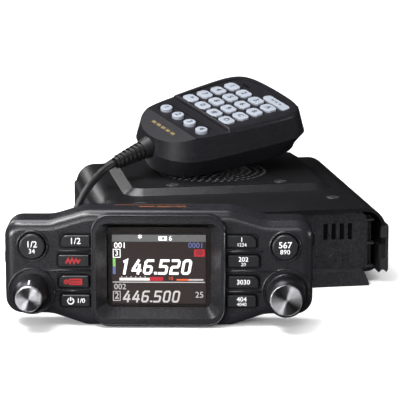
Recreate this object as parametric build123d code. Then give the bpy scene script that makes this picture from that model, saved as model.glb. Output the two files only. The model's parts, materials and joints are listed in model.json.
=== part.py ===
from build123d import *
import os
from math import ceil, cos, pi, radians, sin, tan

# Mobile two-way radio: main unit, detached control head and hand microphone.
# Millimetres. X is to the right, Y to the rear, Z up. The origin is the centre
# of the main unit's footprint, on the surface that everything stands on.

# ---------------------------------------------------------------- main unit
CASE_HALF_WIDTH = 68.0
CASE_FRONT = -66.0
CASE_REAR = 66.0
CASE_BOTTOM = 4.0
CASE_SPLIT = 19.0
COVER_TOP = 37.4
COVER_WALL = 1.6
COVER_EDGE_RADIUS = 10.0
CHASSIS_WALL = 3.0
CHASSIS_EDGE_RADIUS = 7.0
REAR_WALL_FRONT = 62.0
PLATEAU_TOP = 40.3
PLATEAU_HALF_WIDTH = 48.2
PLATEAU_FRONT = -16.1
PLATEAU_SLOPE = 4.7
PLATEAU_TOP_CORNER = 5.0
PLATEAU_FOOT_CORNER = 9.5
FIN_COUNT = 9
FIN_PITCH = 12.0
FIN_THICKNESS = 3.0
FIN_FRONT = -56.0
FIN_REAR = 64.0
GRILLE_CENTRE = (-1.5, 22.0)
GRILLE_HOLE_RADIUS = 0.9
GRILLE_RING_PITCH = 3.8
GRILLE_RINGS = 7
PANEL_FRONT = -62.5
PANEL_THICKNESS = 2.5
PANEL_BACK = PANEL_FRONT + PANEL_THICKNESS
PANEL_HALF_WIDTH = 60.0
LIP_FRONT = -69.7
LIP_TOP = 7.3
LIP_HALF_WIDTH = 59.4
VENT_X = (39.2, 43.2, 47.2, 51.2)
VENT_Z = (21.6, 29.6)
VENT_WIDTH = 2.2
PANEL_SCREW = (43.8, 10.8)
SCREW_HEAD_RADIUS = 2.8
SCREW_HOLE_RADIUS = 1.6
SCREW_SHANK_RADIUS = 1.4
PANEL_SCREW_HEAD_RADIUS = 3.1
SCREW_LENGTH = 6.0
LOW_SCREWS = ((-48.0, -38.0), (48.0, -38.0))
HIGH_SCREWS = ((-27.5, -9.7), (27.5, -9.7))
BRACKET_OUTER = 69.5
BRACKET_Z = (5.5, 29.5)
BRACKET_HOLE_RADIUS = 2.0
BRACKET_HOLE_Y = (-40.0, 40.0)
SPEAKER_RADIUS = 25.0
MAGNET_RADIUS = 14.0
BOARD_HALF_WIDTH = 58.0
MAIN_BOARD_TOP = 10.6
JACK_Z = 18.0
JACK_HALF = (7.7, 6.7)
JACK_OPENING = (5.9, 4.2)
JACK_BACK = -46.0
MIC_JACK_X = 18.0
CONTROL_JACK_X = -12.0
FAN_X = -8.0
FAN_Z = 21.0
FAN_SIZE = 27.0
FAN_DEPTH = 9.0
FAN_BORE_RADIUS = 12.4
FAN_HUB_RADIUS = 5.0
FAN_PIN_RADIUS = 0.9
FAN_BLADES = 7
FAN_SLAT_Z = (-7.5, -2.5, 2.5, 7.5)
ANTENNA_X = -46.0
ANTENNA_RADIUS = 7.94
ANTENNA_TAIL_RADIUS = 5.0
ANTENNA_FLANGE_HALF = 10.5
ANTENNA_REACH = 15.0
REAR_JACK_X = (18.0, 29.0)
REAR_JACK_RADIUS = 4.1
DC_INLET_X = 47.0
DC_GLAND_RADIUS = 5.9
DC_LEAD_RADIUS = 3.2
REAR_CONNECTOR_Z = 20.0

# ------------------------------------------------------------- control head
HEAD_PLACE = Pos(-51.6, -125.9, 0) * Rot(0, 0, -10.3)
HEAD_HALF_WIDTH = 69.0
HEAD_EAR_Z = (5.2, 48.4)
HEAD_EAR_RADIUS = 7.5
HEAD_BULGE_Z = (0.0, 53.0)
HEAD_BULGE_TOP_HALF = 32.5
HEAD_BULGE_FOOT_HALF = 48.0
HEAD_PAD_FRONT = -3.0
HEAD_PAD_HALF = 30.0
HEAD_EDGE_RADIUS = 4.5
HEAD_SPLIT = 11.0
HEAD_REAR = 18.0
HEAD_WALL = 2.0
HEAD_CAVITY_HALF = 66.0
HEAD_CAVITY_Z = (7.7, 45.9)
HEAD_KNEE_RADIUS = 12.0
HEAD_FOOT_RADIUS = 14.0
HEAD_PAD_Z = (0.9, 52.1)
BEZEL_HALF = 29.3
BEZEL_Z = (2.6, 49.6)
BEZEL_MOUTH_HALF = 27.9
BEZEL_MOUTH_Z = (4.4, 48.2)
BEZEL_CORNER = 7.0
GLASS_HALF = 23.4
GLASS_Z = (8.2, 46.0)
GLASS_CORNER = 2.5
WINDOW_HALF = 25.0
WINDOW_Z = (6.6, 47.6)
LCD_HALF = 21.0
LCD_Z = (9.4, 41.4)
KEY_SPAN = ((30.5, 43.6), (31.0, 44.9), (31.2, 44.7), (30.7, 43.7))
KEY_CORNER = (3.0, 1.2, 2.4, 1.2)
KEY_HEIGHT = 5.3
KEY_Z = (39.6, 30.6, 21.0, 12.2)
KEY_FRONT = -1.6
SWITCH_FRONT = 7.2
HEAD_BOARD_Y = (9.0, 10.4)
SWITCH_X = 37.8
KEY_TRAVEL = 0.6
RIB_Z = (35.1, 26.1, 16.6)
BUTTON_X = 56.4
BUTTON_Z = 37.2
BUTTON_RADIUS = 5.8
BUTTON_FRONT = -3.0
BUTTON_RING_RADIUS = 7.2
KNOB_X = 56.9
KNOB_Z = 16.5
KNOB_FRONT = -16.4
KNOB_BACK = -1.5
KNOB_RING = (9.4, 10.2)
SHAFT_RADIUS = 3.0
SHAFT_CLEARANCE = 0.05
ENCODER_BUSH_RADIUS = 4.2
ENCODER_BUSH_FRONT = -2.6
KNOB_RECESS = (5.4, -5.6)
ENCODER_HALF = 6.0
HEAD_SCREW_HOLES = (-20.0, 20.0)
HEAD_HOLE_RADIUS = 1.5
HEAD_JACK_X = (36.4, 51.6)
HEAD_JACK_Z = (11.4, 24.6)

# --------------------------------------------------------------- microphone
# Local frame: X along the body towards its top end, Y across, Z out of the
# key face. The origin is the middle of the keypad, level with the key tops.
MIC_PLACE = Pos(8.5, 30.6, 74.5) * Rot(0, 0, 25.2) * Rot(0, -8.1, 0) * Rot(13.4, 0, 0)
MIC_FACE = -0.9
MIC_SPLIT = -14.0
MIC_BACK = -25.8
MIC_RIM_TOP = -0.3
MIC_WALL = 2.2
MIC_MIDDLE = -8.5
MIC_HALF_LENGTH = 42.0
MIC_HALF_WIDTH = 29.0
MIC_SEAM = [
    (-51.5, 0), (-50.6, 8), (-46.8, 17), (-41, 22.8), (-33, 25.8), (-20, 27.4),
    (-4, 28.9), (12, 30), (22, 29.6), (29.5, 26.2), (33.2, 19), (34.4, 9), (34.6, 0),
]
MIC_RIM = [
    (-48.6, 0), (-47.6, 7.5), (-44.4, 14.8), (-39.2, 19.8), (-31.5, 22.8), (-19, 24.9),
    (-4, 26.7), (11, 28), (20, 27.6), (26.4, 24.4), (29.6, 18), (30.8, 8.5), (31, 0),
]
MIC_FOOT = [
    (-48.6, 0), (-47.6, 7), (-44.2, 13.4), (-38.8, 17.6), (-31, 19.8), (-18, 21.6),
    (-3, 22.9), (10, 23.6), (19, 23), (26, 20), (30, 14.6), (31.6, 7.5), (32, 0),
]
MIC_RIM_RADIUS = 3.0
MIC_STEP_RADIUS = 1.2
MIC_RIM_WIDTH = 4.4
MIC_FOOT = [(-47, 7), (-43.5, 13), (-38.5, 17), (-31, 19.5), (-7, 22.4), (18, 23.6), (28, 19.5), (31.5, 9)]
KEYPAD_STEP = -18.3
MIC_KEY_PITCH_ACROSS = 10.5
MIC_KEY_PITCH_ALONG = 8.85
MIC_KEY_SIZE = (6.6, 8.4)
MIC_KEY_CLIP = 1.5
MIC_KEY_GAP = 0.3
PROGRAM_KEY_X = -29.2
PROGRAM_KEY_PITCH = 10.4
PROGRAM_KEY_RADIUS = 3.1
PROGRAM_FACE = -2.2
PROGRAM_EDGE = -36.5
PROGRAM_SLOPE = 15.0
PROGRAM_KEY_TOP = -1.0
MUTE_KEY = (20.6, -13.2, 5.2, 19.0)
SOUND_SLOT = (20.6, 12.6)
END_KEY_Y = 9.0
END_KEY_X = (28.0, 35.6)
PTT_X = (-9.0, 23.0)
PTT_Z = (-12.5, -5.0)
STUD_X = 5.0
BOARD_TOP = -8.0
STUD_REACH = -33.9
STUD_RADIUS = 7.5
BOOT_START = (-50.0, 0.0, -12.0)
BOOT_TILT = 10.0
BOOT_COLLAR = 5.0
BOOT_LENGTH = 21.0

# --------------------------------------------------------------------- cord
CORD_DIAMETER = 3.6
COIL_DIAMETER = 12.0
COIL_HEIGHT = 6.3


def box(x0, x1, y0, y1, z0, z1):
    """A block between two corners."""
    centre = Pos((x0 + x1) / 2, (y0 + y1) / 2, (z0 + z1) / 2)
    return centre * Box(abs(x1 - x0), abs(y1 - y0), abs(z1 - z0))


def rod_y(x, z, radius, y0, y1):
    """A cylinder along Y."""
    return Pos(x, (y0 + y1) / 2, z) * Rot(90, 0, 0) * Cylinder(radius, abs(y1 - y0))


def rod_z(x, y, radius, z0, z1):
    """A cylinder along Z."""
    return Pos(x, y, (z0 + z1) / 2) * Cylinder(radius, abs(z1 - z0))


def front_sketch(sketch, y):
    """A flat outline drawn in X and Z, standing at the given Y."""
    return Plane(origin=(0, y, 0), x_dir=(1, 0, 0), z_dir=(0, -1, 0)) * sketch


def prism_y(sketch, y0, y1):
    """An X-Z outline carried from y0 back to y1."""
    return extrude(front_sketch(sketch, y0), amount=-(y1 - y0))


def round_rect(x0, x1, z0, z1, radius):
    """A rectangle with equal rounded corners, from its limits."""
    return Pos((x0 + x1) / 2, (z0 + z1) / 2) * RectangleRounded(x1 - x0, z1 - z0, radius)


def arch(half_width, z0, z1, low_radius, high_radius):
    """A section with its own corner radii below and above."""
    section = Pos(0, (z0 + z1) / 2) * Rectangle(2 * half_width, z1 - z0)
    corners = section.vertices().sort_by(Axis.Y)
    if high_radius:
        section = fillet(corners[-2:], high_radius)
    if low_radius:
        section = fillet(section.vertices().sort_by(Axis.Y)[:2], low_radius)
    return section


def plateau(drop):
    """The raised middle of the cover, sunk by drop for its inside."""
    rear = CASE_REAR + 20
    centre_y = (PLATEAU_FRONT + rear) / 2
    top_depth = rear - PLATEAU_FRONT
    top_shape = RectangleRounded(2 * PLATEAU_HALF_WIDTH, top_depth, PLATEAU_TOP_CORNER)
    top = Pos(0, centre_y, PLATEAU_TOP - drop) * top_shape
    foot_width = 2 * (PLATEAU_HALF_WIDTH + PLATEAU_SLOPE)
    foot_depth = top_depth + 2 * PLATEAU_SLOPE
    foot = Pos(0, centre_y, COVER_TOP - drop) * RectangleRounded(foot_width, foot_depth, PLATEAU_FOOT_CORNER)
    return loft([foot, top])


def grille_holes():
    """Concentric rings of small holes over the loudspeaker."""
    holes = []
    for ring in range(1, GRILLE_RINGS + 1):
        radius = ring * GRILLE_RING_PITCH
        count = round(2 * pi * radius / GRILLE_RING_PITCH)
        for step in range(count):
            angle = 2 * pi * step / count
            x = GRILLE_CENTRE[0] + radius * cos(angle)
            y = GRILLE_CENTRE[1] + radius * sin(angle)
            holes.append(rod_z(x, y, GRILLE_HOLE_RADIUS, COVER_TOP - 6, PLATEAU_TOP + 2))
    return holes


def top_cover():
    """Folded metal cover with a raised middle and the loudspeaker grille."""
    inside = CASE_HALF_WIDTH - COVER_WALL
    section = arch(CASE_HALF_WIDTH, CASE_SPLIT, COVER_TOP, 0, COVER_EDGE_RADIUS)
    outer = prism_y(section, CASE_FRONT, CASE_REAR)
    inner_section = arch(inside, CASE_SPLIT - 1, COVER_TOP - COVER_WALL, 0, COVER_EDGE_RADIUS - COVER_WALL)
    inner = prism_y(inner_section, CASE_FRONT - 1, CASE_REAR + 1)
    raised = plateau(0) & box(-60, 60, CASE_FRONT, CASE_REAR, COVER_TOP, PLATEAU_TOP)
    hollow = plateau(COVER_WALL) & box(-60, 60, CASE_FRONT, REAR_WALL_FRONT, COVER_TOP - 3, PLATEAU_TOP)
    cover = outer - inner + raised - hollow
    for x, y in LOW_SCREWS:
        cover -= rod_z(x, y, SCREW_HEAD_RADIUS + 0.2, COVER_TOP - 0.8, COVER_TOP + 1)
        cover -= rod_z(x, y, SCREW_HOLE_RADIUS, COVER_TOP - 3, COVER_TOP + 1)
    for x, y in HIGH_SCREWS:
        cover -= rod_z(x, y, SCREW_HEAD_RADIUS + 0.2, PLATEAU_TOP - 0.8, PLATEAU_TOP + 1)
        cover -= rod_z(x, y, SCREW_HOLE_RADIUS, PLATEAU_TOP - 3, PLATEAU_TOP + 1)
    return cover - grille_holes() - bracket_holes(-1) - bracket_holes(1)


def chassis():
    """Die-cast tray with a rear wall and cooling fins that it stands on."""
    section = arch(CASE_HALF_WIDTH, CASE_BOTTOM, CASE_SPLIT, CHASSIS_EDGE_RADIUS, 0)
    outer = prism_y(section, CASE_FRONT, CASE_REAR)
    inside = CASE_HALF_WIDTH - CHASSIS_WALL
    floor_top = CASE_BOTTOM + CHASSIS_WALL
    tray = outer - box(-inside, inside, CASE_FRONT - 1, REAR_WALL_FRONT, floor_top, CASE_SPLIT + 1)
    tray -= box(-inside, inside, CASE_FRONT - 1, -57.5, 0, floor_top + 1)
    wall_half = CASE_HALF_WIDTH - COVER_WALL - 0.2
    wall_top = COVER_TOP - COVER_WALL
    wall_section = arch(wall_half, floor_top, wall_top, 0, COVER_EDGE_RADIUS - COVER_WALL + 0.4)
    tray += prism_y(wall_section, REAR_WALL_FRONT, CASE_REAR)
    for number in range(FIN_COUNT):
        x = (number - (FIN_COUNT - 1) / 2) * FIN_PITCH
        tray += box(x - FIN_THICKNESS / 2, x + FIN_THICKNESS / 2, FIN_FRONT, FIN_REAR, 0, CASE_BOTTOM + 1)
    for x in (-40, 40):
        tray += box(x - 3, x + 3, -40, 28, floor_top - 1, floor_top + 2)
    tray -= rod_y(FAN_X, FAN_Z, FAN_BORE_RADIUS + 0.2, REAR_WALL_FRONT - 1, CASE_REAR + 1)
    half = FAN_SIZE / 2
    for z in FAN_SLAT_Z:
        tray += box(FAN_X - half, FAN_X + half, CASE_REAR - 1.6, CASE_REAR, FAN_Z + z - 0.7, FAN_Z + z + 0.7)
    tray -= rod_y(ANTENNA_X, REAR_CONNECTOR_Z, ANTENNA_TAIL_RADIUS + 0.2, REAR_WALL_FRONT - 1, CASE_REAR + 1)
    tray -= rod_y(DC_INLET_X, REAR_CONNECTOR_Z, DC_GLAND_RADIUS + 0.1, REAR_WALL_FRONT - 1, CASE_REAR + 1)
    for x in REAR_JACK_X:
        tray -= rod_y(x, REAR_CONNECTOR_Z, REAR_JACK_RADIUS + 0.1, REAR_WALL_FRONT - 1, CASE_REAR + 1)
    return tray - bracket_holes(-1) - bracket_holes(1)


def front_panel():
    """Recessed front plate with vents, jack windows, hook pockets and a lower lip."""
    top = COVER_TOP - COVER_WALL - 0.2
    plate = prism_y(arch(PANEL_HALF_WIDTH, LIP_TOP - 1, top, 0, 6), PANEL_FRONT, PANEL_BACK)
    lip_corners = [
        (-LIP_HALF_WIDTH, 0),
        (LIP_HALF_WIDTH, 0),
        (LIP_HALF_WIDTH, 1.4),
        (LIP_HALF_WIDTH - 2.6, LIP_TOP),
        (-LIP_HALF_WIDTH + 2.6, LIP_TOP),
        (-LIP_HALF_WIDTH, 1.4),
    ]
    lip = prism_y(make_face(Polyline(*lip_corners, close=True)), LIP_FRONT, -57.6)
    panel = plate + lip
    for side in (-1, 1):
        outer = 62.8 * side
        inner = (PANEL_HALF_WIDTH - 1.5) * side
        panel += box(inner, PANEL_HALF_WIDTH * side, PANEL_FRONT, -56.5, LIP_TOP + 0.2, 30)
        panel += box(inner, outer, -58, -56.5, LIP_TOP + 0.2, 32.2)
        for z in (8.0, 19.6, 31.2):
            panel += box(PANEL_HALF_WIDTH * side - side, outer, -64, -57, z - 0.45, z + 0.45)
    for x in VENT_X:
        panel -= box(x - VENT_WIDTH / 2, x + VENT_WIDTH / 2, PANEL_FRONT - 1, PANEL_BACK + 1, *VENT_Z)
    for side in (-1, 1):
        x, z = side * PANEL_SCREW[0], PANEL_SCREW[1]
        panel -= rod_y(x, z, PANEL_SCREW_HEAD_RADIUS + 0.3, PANEL_FRONT - 1, PANEL_FRONT + 1)
        panel -= rod_y(x, z, SCREW_HOLE_RADIUS, PANEL_FRONT, PANEL_BACK + 1)
    for x in (MIC_JACK_X, CONTROL_JACK_X):
        panel -= jack_block(x, (JACK_HALF[0] + 0.1, JACK_HALF[1] + 0.1), PANEL_FRONT - 1, PANEL_BACK + 1)
    return panel


def side_bracket(side):
    """Side rail with fixing holes, two front tabs and a snap catch shape."""
    low, high = BRACKET_Z
    outline = [
        (side * CASE_HALF_WIDTH, low + 3.0),
        (side * (BRACKET_OUTER - 0.9), low),
        (side * BRACKET_OUTER, low + 1.2),
        (side * BRACKET_OUTER, high - 1.2),
        (side * (BRACKET_OUTER - 0.6), high),
        (side * CASE_HALF_WIDTH, high),
    ]
    rail_shape = make_face(Polyline(*outline, close=True))
    rail = prism_y(rail_shape, CASE_FRONT - 0.6, CASE_REAR - 4)
    for z in (CASE_SPLIT - 11.9, CASE_SPLIT + 4.0):
        rail += box(side * 65.4, side * 68.4, CASE_FRONT - 2.0, CASE_FRONT - 0.5, z, z + 5.4)
    return rail - bracket_holes(side)


def bracket_holes(side):
    """Fixing holes through the rail and the case wall behind it."""
    holes = []
    for y in BRACKET_HOLE_Y:
        holes.append(Pos(side * 67, y, JACK_Z) * Rot(0, 90, 0) * Cylinder(BRACKET_HOLE_RADIUS, 8))
    return holes


def screw_z(x, y, top, length):
    """Pan-head screw pointing down with a cross recess."""
    head = rod_z(x, y, SCREW_HEAD_RADIUS, top - 0.8, top + 0.25)
    shank = rod_z(x, y, SCREW_SHANK_RADIUS, top - length, top - 0.7)
    cross = box(x - 1.5, x + 1.5, y - 0.3, y + 0.3, top - 0.5, top + 1)
    cross += box(x - 0.3, x + 0.3, y - 1.5, y + 1.5, top - 0.5, top + 1)
    return head + shank - cross


def screw_y(x, z, front, length, head_radius):
    """Pan-head screw pointing back with a cross recess."""
    head = rod_y(x, z, head_radius, front - 0.2, front + 0.95)
    shank = rod_y(x, z, SCREW_SHANK_RADIUS, front + 0.9, front + length)
    cross = box(x - 1.7, x + 1.7, front - 1, front + 0.45, z - 0.35, z + 0.35)
    cross += box(x - 0.35, x + 0.35, front - 1, front + 0.45, z - 1.7, z + 1.7)
    return head + shank - cross


def case_screws():
    """Cover screws and front panel screws."""
    screws = [screw_z(x, y, COVER_TOP, SCREW_LENGTH) for x, y in LOW_SCREWS]
    screws += [screw_z(x, y, PLATEAU_TOP, SCREW_LENGTH) for x, y in HIGH_SCREWS]
    x, z = PANEL_SCREW
    for side in (-1, 1):
        screws.append(screw_y(side * x, z, PANEL_FRONT, SCREW_LENGTH - 1, PANEL_SCREW_HEAD_RADIUS))
    return Compound(screws)


def loudspeaker():
    """Round loudspeaker: basket, magnet and a shallow cone."""
    x, y = GRILLE_CENTRE
    body = rod_z(x, y, SPEAKER_RADIUS, 35.0, 38.4) + rod_z(x, y, MAGNET_RADIUS, 28, 35.2)
    cone = Pos(x, y, 37.0) * Cone(6, SPEAKER_RADIUS - 4, 3.0)
    return body - cone


def main_board():
    """Circuit board with a shield can and two rows of parts."""
    top = MAIN_BOARD_TOP
    board = box(-BOARD_HALF_WIDTH, BOARD_HALF_WIDTH, -44, 30, top - 1.6, top)
    board += box(-50, -10, -20, 20, top, top + 6)
    for number in range(6):
        board += box(2 + 8 * number, 6 + 8 * number, -30, -22, top, top + 3)
    return board


def fan_frame():
    """Square fan housing with its motor hub."""
    y0, y1 = REAR_WALL_FRONT - FAN_DEPTH, REAR_WALL_FRONT
    half = FAN_SIZE / 2
    frame = box(FAN_X - half, FAN_X + half, y0, y1, FAN_Z - half, FAN_Z + half)
    frame -= rod_y(FAN_X, FAN_Z, FAN_BORE_RADIUS, y0 - 1, y1 + 1)
    frame += rod_y(FAN_X, FAN_Z, FAN_HUB_RADIUS, y1 - 1.6, y1)
    for angle in (45, 135):
        arm = Rot(0, angle, 0) * Box(2 * FAN_BORE_RADIUS + 0.8, 1.2, 1.6)
        frame += Pos(FAN_X, y1 - 0.8, FAN_Z) * arm
    frame += rod_y(FAN_X, FAN_Z, FAN_PIN_RADIUS, y1 - 7, y1 - 1)
    return frame


def fan_rotor():
    """Bladed rotor running on the fan's centre pin."""
    y0, y1 = REAR_WALL_FRONT - FAN_DEPTH + 0.6, REAR_WALL_FRONT - 2.2
    rotor = rod_y(0, 0, FAN_HUB_RADIUS, y0, y1)
    blade = Pos(8.2, (y0 + y1) / 2, 0) * Rot(35, 0, 0) * Box(7.0, 5.4, 0.9)
    for number in range(FAN_BLADES):
        rotor += Rot(0, number * 360 / FAN_BLADES, 0) * blade
    rotor -= rod_y(0, 0, FAN_PIN_RADIUS + 0.06, y0 + 1.2, y1 + 1)
    return Pos(FAN_X, 0, FAN_Z) * rotor


def antenna_connector():
    """Flanged coaxial socket with a threaded barrel."""
    x, z = ANTENNA_X, REAR_CONNECTOR_Z
    half = ANTENNA_FLANGE_HALF
    flange = box(x - half, x + half, CASE_REAR, CASE_REAR + 2.4, z - half, z + half)
    socket = flange + rod_y(x, z, ANTENNA_RADIUS, CASE_REAR + 2, CASE_REAR + ANTENNA_REACH)
    socket += rod_y(x, z, ANTENNA_TAIL_RADIUS, CASE_REAR - 8, CASE_REAR + 1)
    socket -= rod_y(x, z, 6.2, CASE_REAR + 6, CASE_REAR + ANTENNA_REACH + 1)
    socket -= rod_y(x, z, 2.1, CASE_REAR + 3, CASE_REAR + 7)
    return socket


def dc_gland():
    """Rubber grommet for the power lead."""
    x, z = DC_INLET_X, REAR_CONNECTOR_Z
    gland = rod_y(x, z, DC_GLAND_RADIUS + 2.1, CASE_REAR, CASE_REAR + 2.5)
    gland += rod_y(x, z, DC_GLAND_RADIUS, REAR_WALL_FRONT - 1, CASE_REAR + 6)
    return gland - rod_y(x, z, DC_LEAD_RADIUS, REAR_WALL_FRONT - 2, CASE_REAR + 7)


def rear_jacks():
    """Loudspeaker and data jacks in the rear wall."""
    jacks = []
    for x in REAR_JACK_X:
        jack = rod_y(x, REAR_CONNECTOR_Z, REAR_JACK_RADIUS, REAR_WALL_FRONT - 10, CASE_REAR)
        jack += rod_y(x, REAR_CONNECTOR_Z, 5.2, CASE_REAR, CASE_REAR + 1.6)
        jacks.append(jack - rod_y(x, REAR_CONNECTOR_Z, 1.8, CASE_REAR - 11, CASE_REAR + 3))
    return Compound(jacks)


def jack_block(x, half, front, back):
    """A block centred on a front jack's axis, from its half width and half height."""
    return box(x - half[0], x + half[0], front, back, JACK_Z - half[1], JACK_Z + half[1])


def modular_jack(x, front, back):
    """Modular socket body with its plug opening to the front."""
    return jack_block(x, JACK_HALF, front, back) - jack_block(x, JACK_OPENING, front - 1, back - 3)


def front_jacks():
    """Microphone and control-head sockets in the main unit's front."""
    return Compound([modular_jack(x, PANEL_FRONT - 0.2, JACK_BACK) for x in (MIC_JACK_X, CONTROL_JACK_X)])


# ------------------------------------------------------------- control head
def head_outline(inset):
    """Front outline of the control head, drawn inwards by inset."""
    ear_low, ear_high = HEAD_EAR_Z
    low, high = HEAD_BULGE_Z
    half = HEAD_HALF_WIDTH - inset
    ears = round_rect(-half, half, ear_low + inset, ear_high - inset, HEAD_EAR_RADIUS - inset * 0.6)
    bulge_corners = []
    for z, middle in ((low + inset, ear_low + inset), (high - inset, ear_high - inset)):
        row = [
            (-HEAD_BULGE_FOOT_HALF, middle),
            (-HEAD_BULGE_TOP_HALF, z),
            (HEAD_BULGE_TOP_HALF, z),
            (HEAD_BULGE_FOOT_HALF, middle),
        ]
        bulge_corners += row if not bulge_corners else row[::-1]
    bulge = make_face(Polyline(*bulge_corners, close=True))
    outline = ears + bulge
    knees = outline.vertices().filter_by(lambda v: abs(abs(v.X) - HEAD_BULGE_TOP_HALF) < 0.1)
    outline = fillet(knees, HEAD_KNEE_RADIUS)
    feet = outline.vertices().filter_by(lambda v: abs(abs(v.X) - HEAD_BULGE_FOOT_HALF) < 0.1)
    return fillet(feet, HEAD_FOOT_RADIUS)


def bezel_opening(extra):
    """Outline of the display bezel, grown by extra."""
    half = BEZEL_HALF + extra
    low, high = BEZEL_Z
    return round_rect(-half, half, low - extra, high + extra, BEZEL_CORNER + extra)


def key_outline(side, row, extra):
    """Outline of one key, with its own radius on the upper outer corner."""
    inner, outer = KEY_SPAN[row]
    half_width = (outer - inner) / 2 + extra
    half_height = KEY_HEIGHT / 2 + extra
    key = Rectangle(2 * half_width, 2 * half_height)
    corner = key.vertices().sort_by(lambda v: v.Y + side * v.X)[-1]
    key = fillet(corner, KEY_CORNER[row])
    rest = key.vertices().filter_by(lambda v: abs(v.X * v.Y) > half_width * half_height - 0.1)
    key = fillet(rest, 0.6)
    return Pos(side * (inner + outer) / 2, KEY_Z[row]) * key


def head_front_shell():
    """Front half of the control head's case."""
    shell = prism_y(head_outline(0), 0, HEAD_SPLIT)
    shell = fillet(shell.faces().sort_by(Axis.Y)[0].edges(), HEAD_EDGE_RADIUS)
    pad = prism_y(round_rect(-HEAD_PAD_HALF, HEAD_PAD_HALF, *HEAD_PAD_Z, 8), HEAD_PAD_FRONT, 2.4)
    pad = fillet(pad.faces().sort_by(Axis.Y)[0].edges(), 0.6)
    shell += pad
    shell -= box(-HEAD_CAVITY_HALF, HEAD_CAVITY_HALF, HEAD_WALL, HEAD_SPLIT + 1, *HEAD_CAVITY_Z)
    shell -= prism_y(bezel_opening(0), HEAD_PAD_FRONT - 1, HEAD_SPLIT + 1)
    for side in (-1, 1):
        for row in range(len(KEY_Z)):
            shell -= prism_y(key_outline(side, row, 0.3), -1, HEAD_WALL + 1)
        for number, z in enumerate(RIB_Z):
            reach = 53.0 if number == 1 else 46.0
            shell += box(side * (HEAD_PAD_HALF - 0.4), side * reach, -0.9, 0.5, z - 0.45, z + 0.45)
        shell += rod_y(side * BUTTON_X, BUTTON_Z, BUTTON_RING_RADIUS, -0.6, 0.5)
        shell -= rod_y(side * BUTTON_X, BUTTON_Z, BUTTON_RADIUS + 0.4, -2, HEAD_WALL + 1)
        shell += rod_y(side * KNOB_X, KNOB_Z, KNOB_RING[1], -0.7, 2.2)
        shell -= rod_y(side * KNOB_X, KNOB_Z, KNOB_RING[0], -2, -0.1)
        shell -= rod_y(side * KNOB_X, KNOB_Z, ENCODER_BUSH_RADIUS + 0.4, -2, HEAD_WALL + 1)
    return shell


def head_rear_shell():
    """Rear half of the control head's case with grip ribs and a cable window."""
    shell = prism_y(head_outline(0), HEAD_SPLIT, HEAD_REAR)
    shell = chamfer(shell.faces().sort_by(Axis.Y)[-1].edges(), 1.6)
    shell -= box(-HEAD_CAVITY_HALF, HEAD_CAVITY_HALF, HEAD_SPLIT - 1, HEAD_REAR - HEAD_WALL, *HEAD_CAVITY_Z)
    for x in HEAD_SCREW_HOLES:
        shell += rod_y(x, 26, 4.0, HEAD_SPLIT + 0.6, HEAD_REAR - 1)
        shell -= rod_y(x, 26, HEAD_HOLE_RADIUS, HEAD_SPLIT, HEAD_REAR + 1)
    for x, z in head_screw_places():
        shell += rod_y(x, z, 3.2, HEAD_SPLIT, HEAD_REAR - 1)
        shell -= rod_y(x, z, 2.6, HEAD_REAR - 1.6, HEAD_REAR + 1)
        shell -= rod_y(x, z, 1.3, HEAD_SPLIT - 1, HEAD_REAR + 1)
    left, right = HEAD_JACK_X
    low, high = HEAD_JACK_Z
    shell -= box(left - 0.2, right + 0.2, HEAD_SPLIT, HEAD_REAR + 1, low - 0.2, high + 0.2)
    for side, z in ((-1, 29.0), (1, 37.0)):
        for number in range(4):
            y = 12.4 + 1.2 * number
            shell += box(side * 69.0, side * 70.1, y, y + 0.6, z - 2.4, z + 2.4)
    return shell


def head_screw_places():
    """Rear case screws of the control head."""
    return [(x, z) for x in (-60, 60) for z in (12, 40)]


def head_screws():
    """Four self-tapping screws in the control head's rear shell."""
    screws = []
    for x, z in head_screw_places():
        head = rod_y(x, z, 2.4, HEAD_REAR - 1.6, HEAD_REAR - 0.3)
        cross = box(x - 1.4, x + 1.4, HEAD_REAR - 0.9, HEAD_REAR, z - 0.3, z + 0.3)
        cross += box(x - 0.3, x + 0.3, HEAD_REAR - 0.9, HEAD_REAR, z - 1.4, z + 1.4)
        screws.append(head - cross + rod_y(x, z, 1.2, HEAD_SPLIT + 0.5, HEAD_REAR - 1.5))
    return Compound(screws)


def display_bezel():
    """Frame around the display with walls that slope in to the glass."""
    frame = prism_y(bezel_opening(0), HEAD_PAD_FRONT - 0.2, 5.0)
    mouth_shape = round_rect(-BEZEL_MOUTH_HALF, BEZEL_MOUTH_HALF, *BEZEL_MOUTH_Z, 5.5)
    mouth = front_sketch(mouth_shape, HEAD_PAD_FRONT - 0.2)
    throat = front_sketch(round_rect(-GLASS_HALF, GLASS_HALF, *GLASS_Z, GLASS_CORNER), 3.0)
    frame -= loft([mouth, throat])
    frame -= prism_y(round_rect(-GLASS_HALF, GLASS_HALF, *GLASS_Z, GLASS_CORNER), 2.9, 6)
    frame -= box(-WINDOW_HALF - 0.2, WINDOW_HALF + 0.2, 3.4, 6, WINDOW_Z[0] - 0.2, WINDOW_Z[1] + 0.2)
    return frame


def display_window():
    """Clear window behind the bezel."""
    return box(-WINDOW_HALF, WINDOW_HALF, 3.4, 4.6, *WINDOW_Z)


def lcd_panel():
    """Colour display module behind the window."""
    panel = box(-24.0, 24.0, 5.0, 8.0, 7.6, 44.6)
    return panel + box(-LCD_HALF, LCD_HALF, 4.7, 5.2, *LCD_Z)


def head_board():
    """Circuit board of the control head with key switches."""
    board = box(-65, 65, *HEAD_BOARD_Y, 8.2, 44.2)
    for side in (-1, 1):
        x = side * SWITCH_X
        for z in KEY_Z:
            board += box(x - 2.4, x + 2.4, SWITCH_FRONT, HEAD_BOARD_Y[0], z - 2.0, z + 2.0)
        x = side * BUTTON_X
        board += box(x - 3, x + 3, SWITCH_FRONT, HEAD_BOARD_Y[0], BUTTON_Z - 3, BUTTON_Z + 3)
    return board


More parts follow.
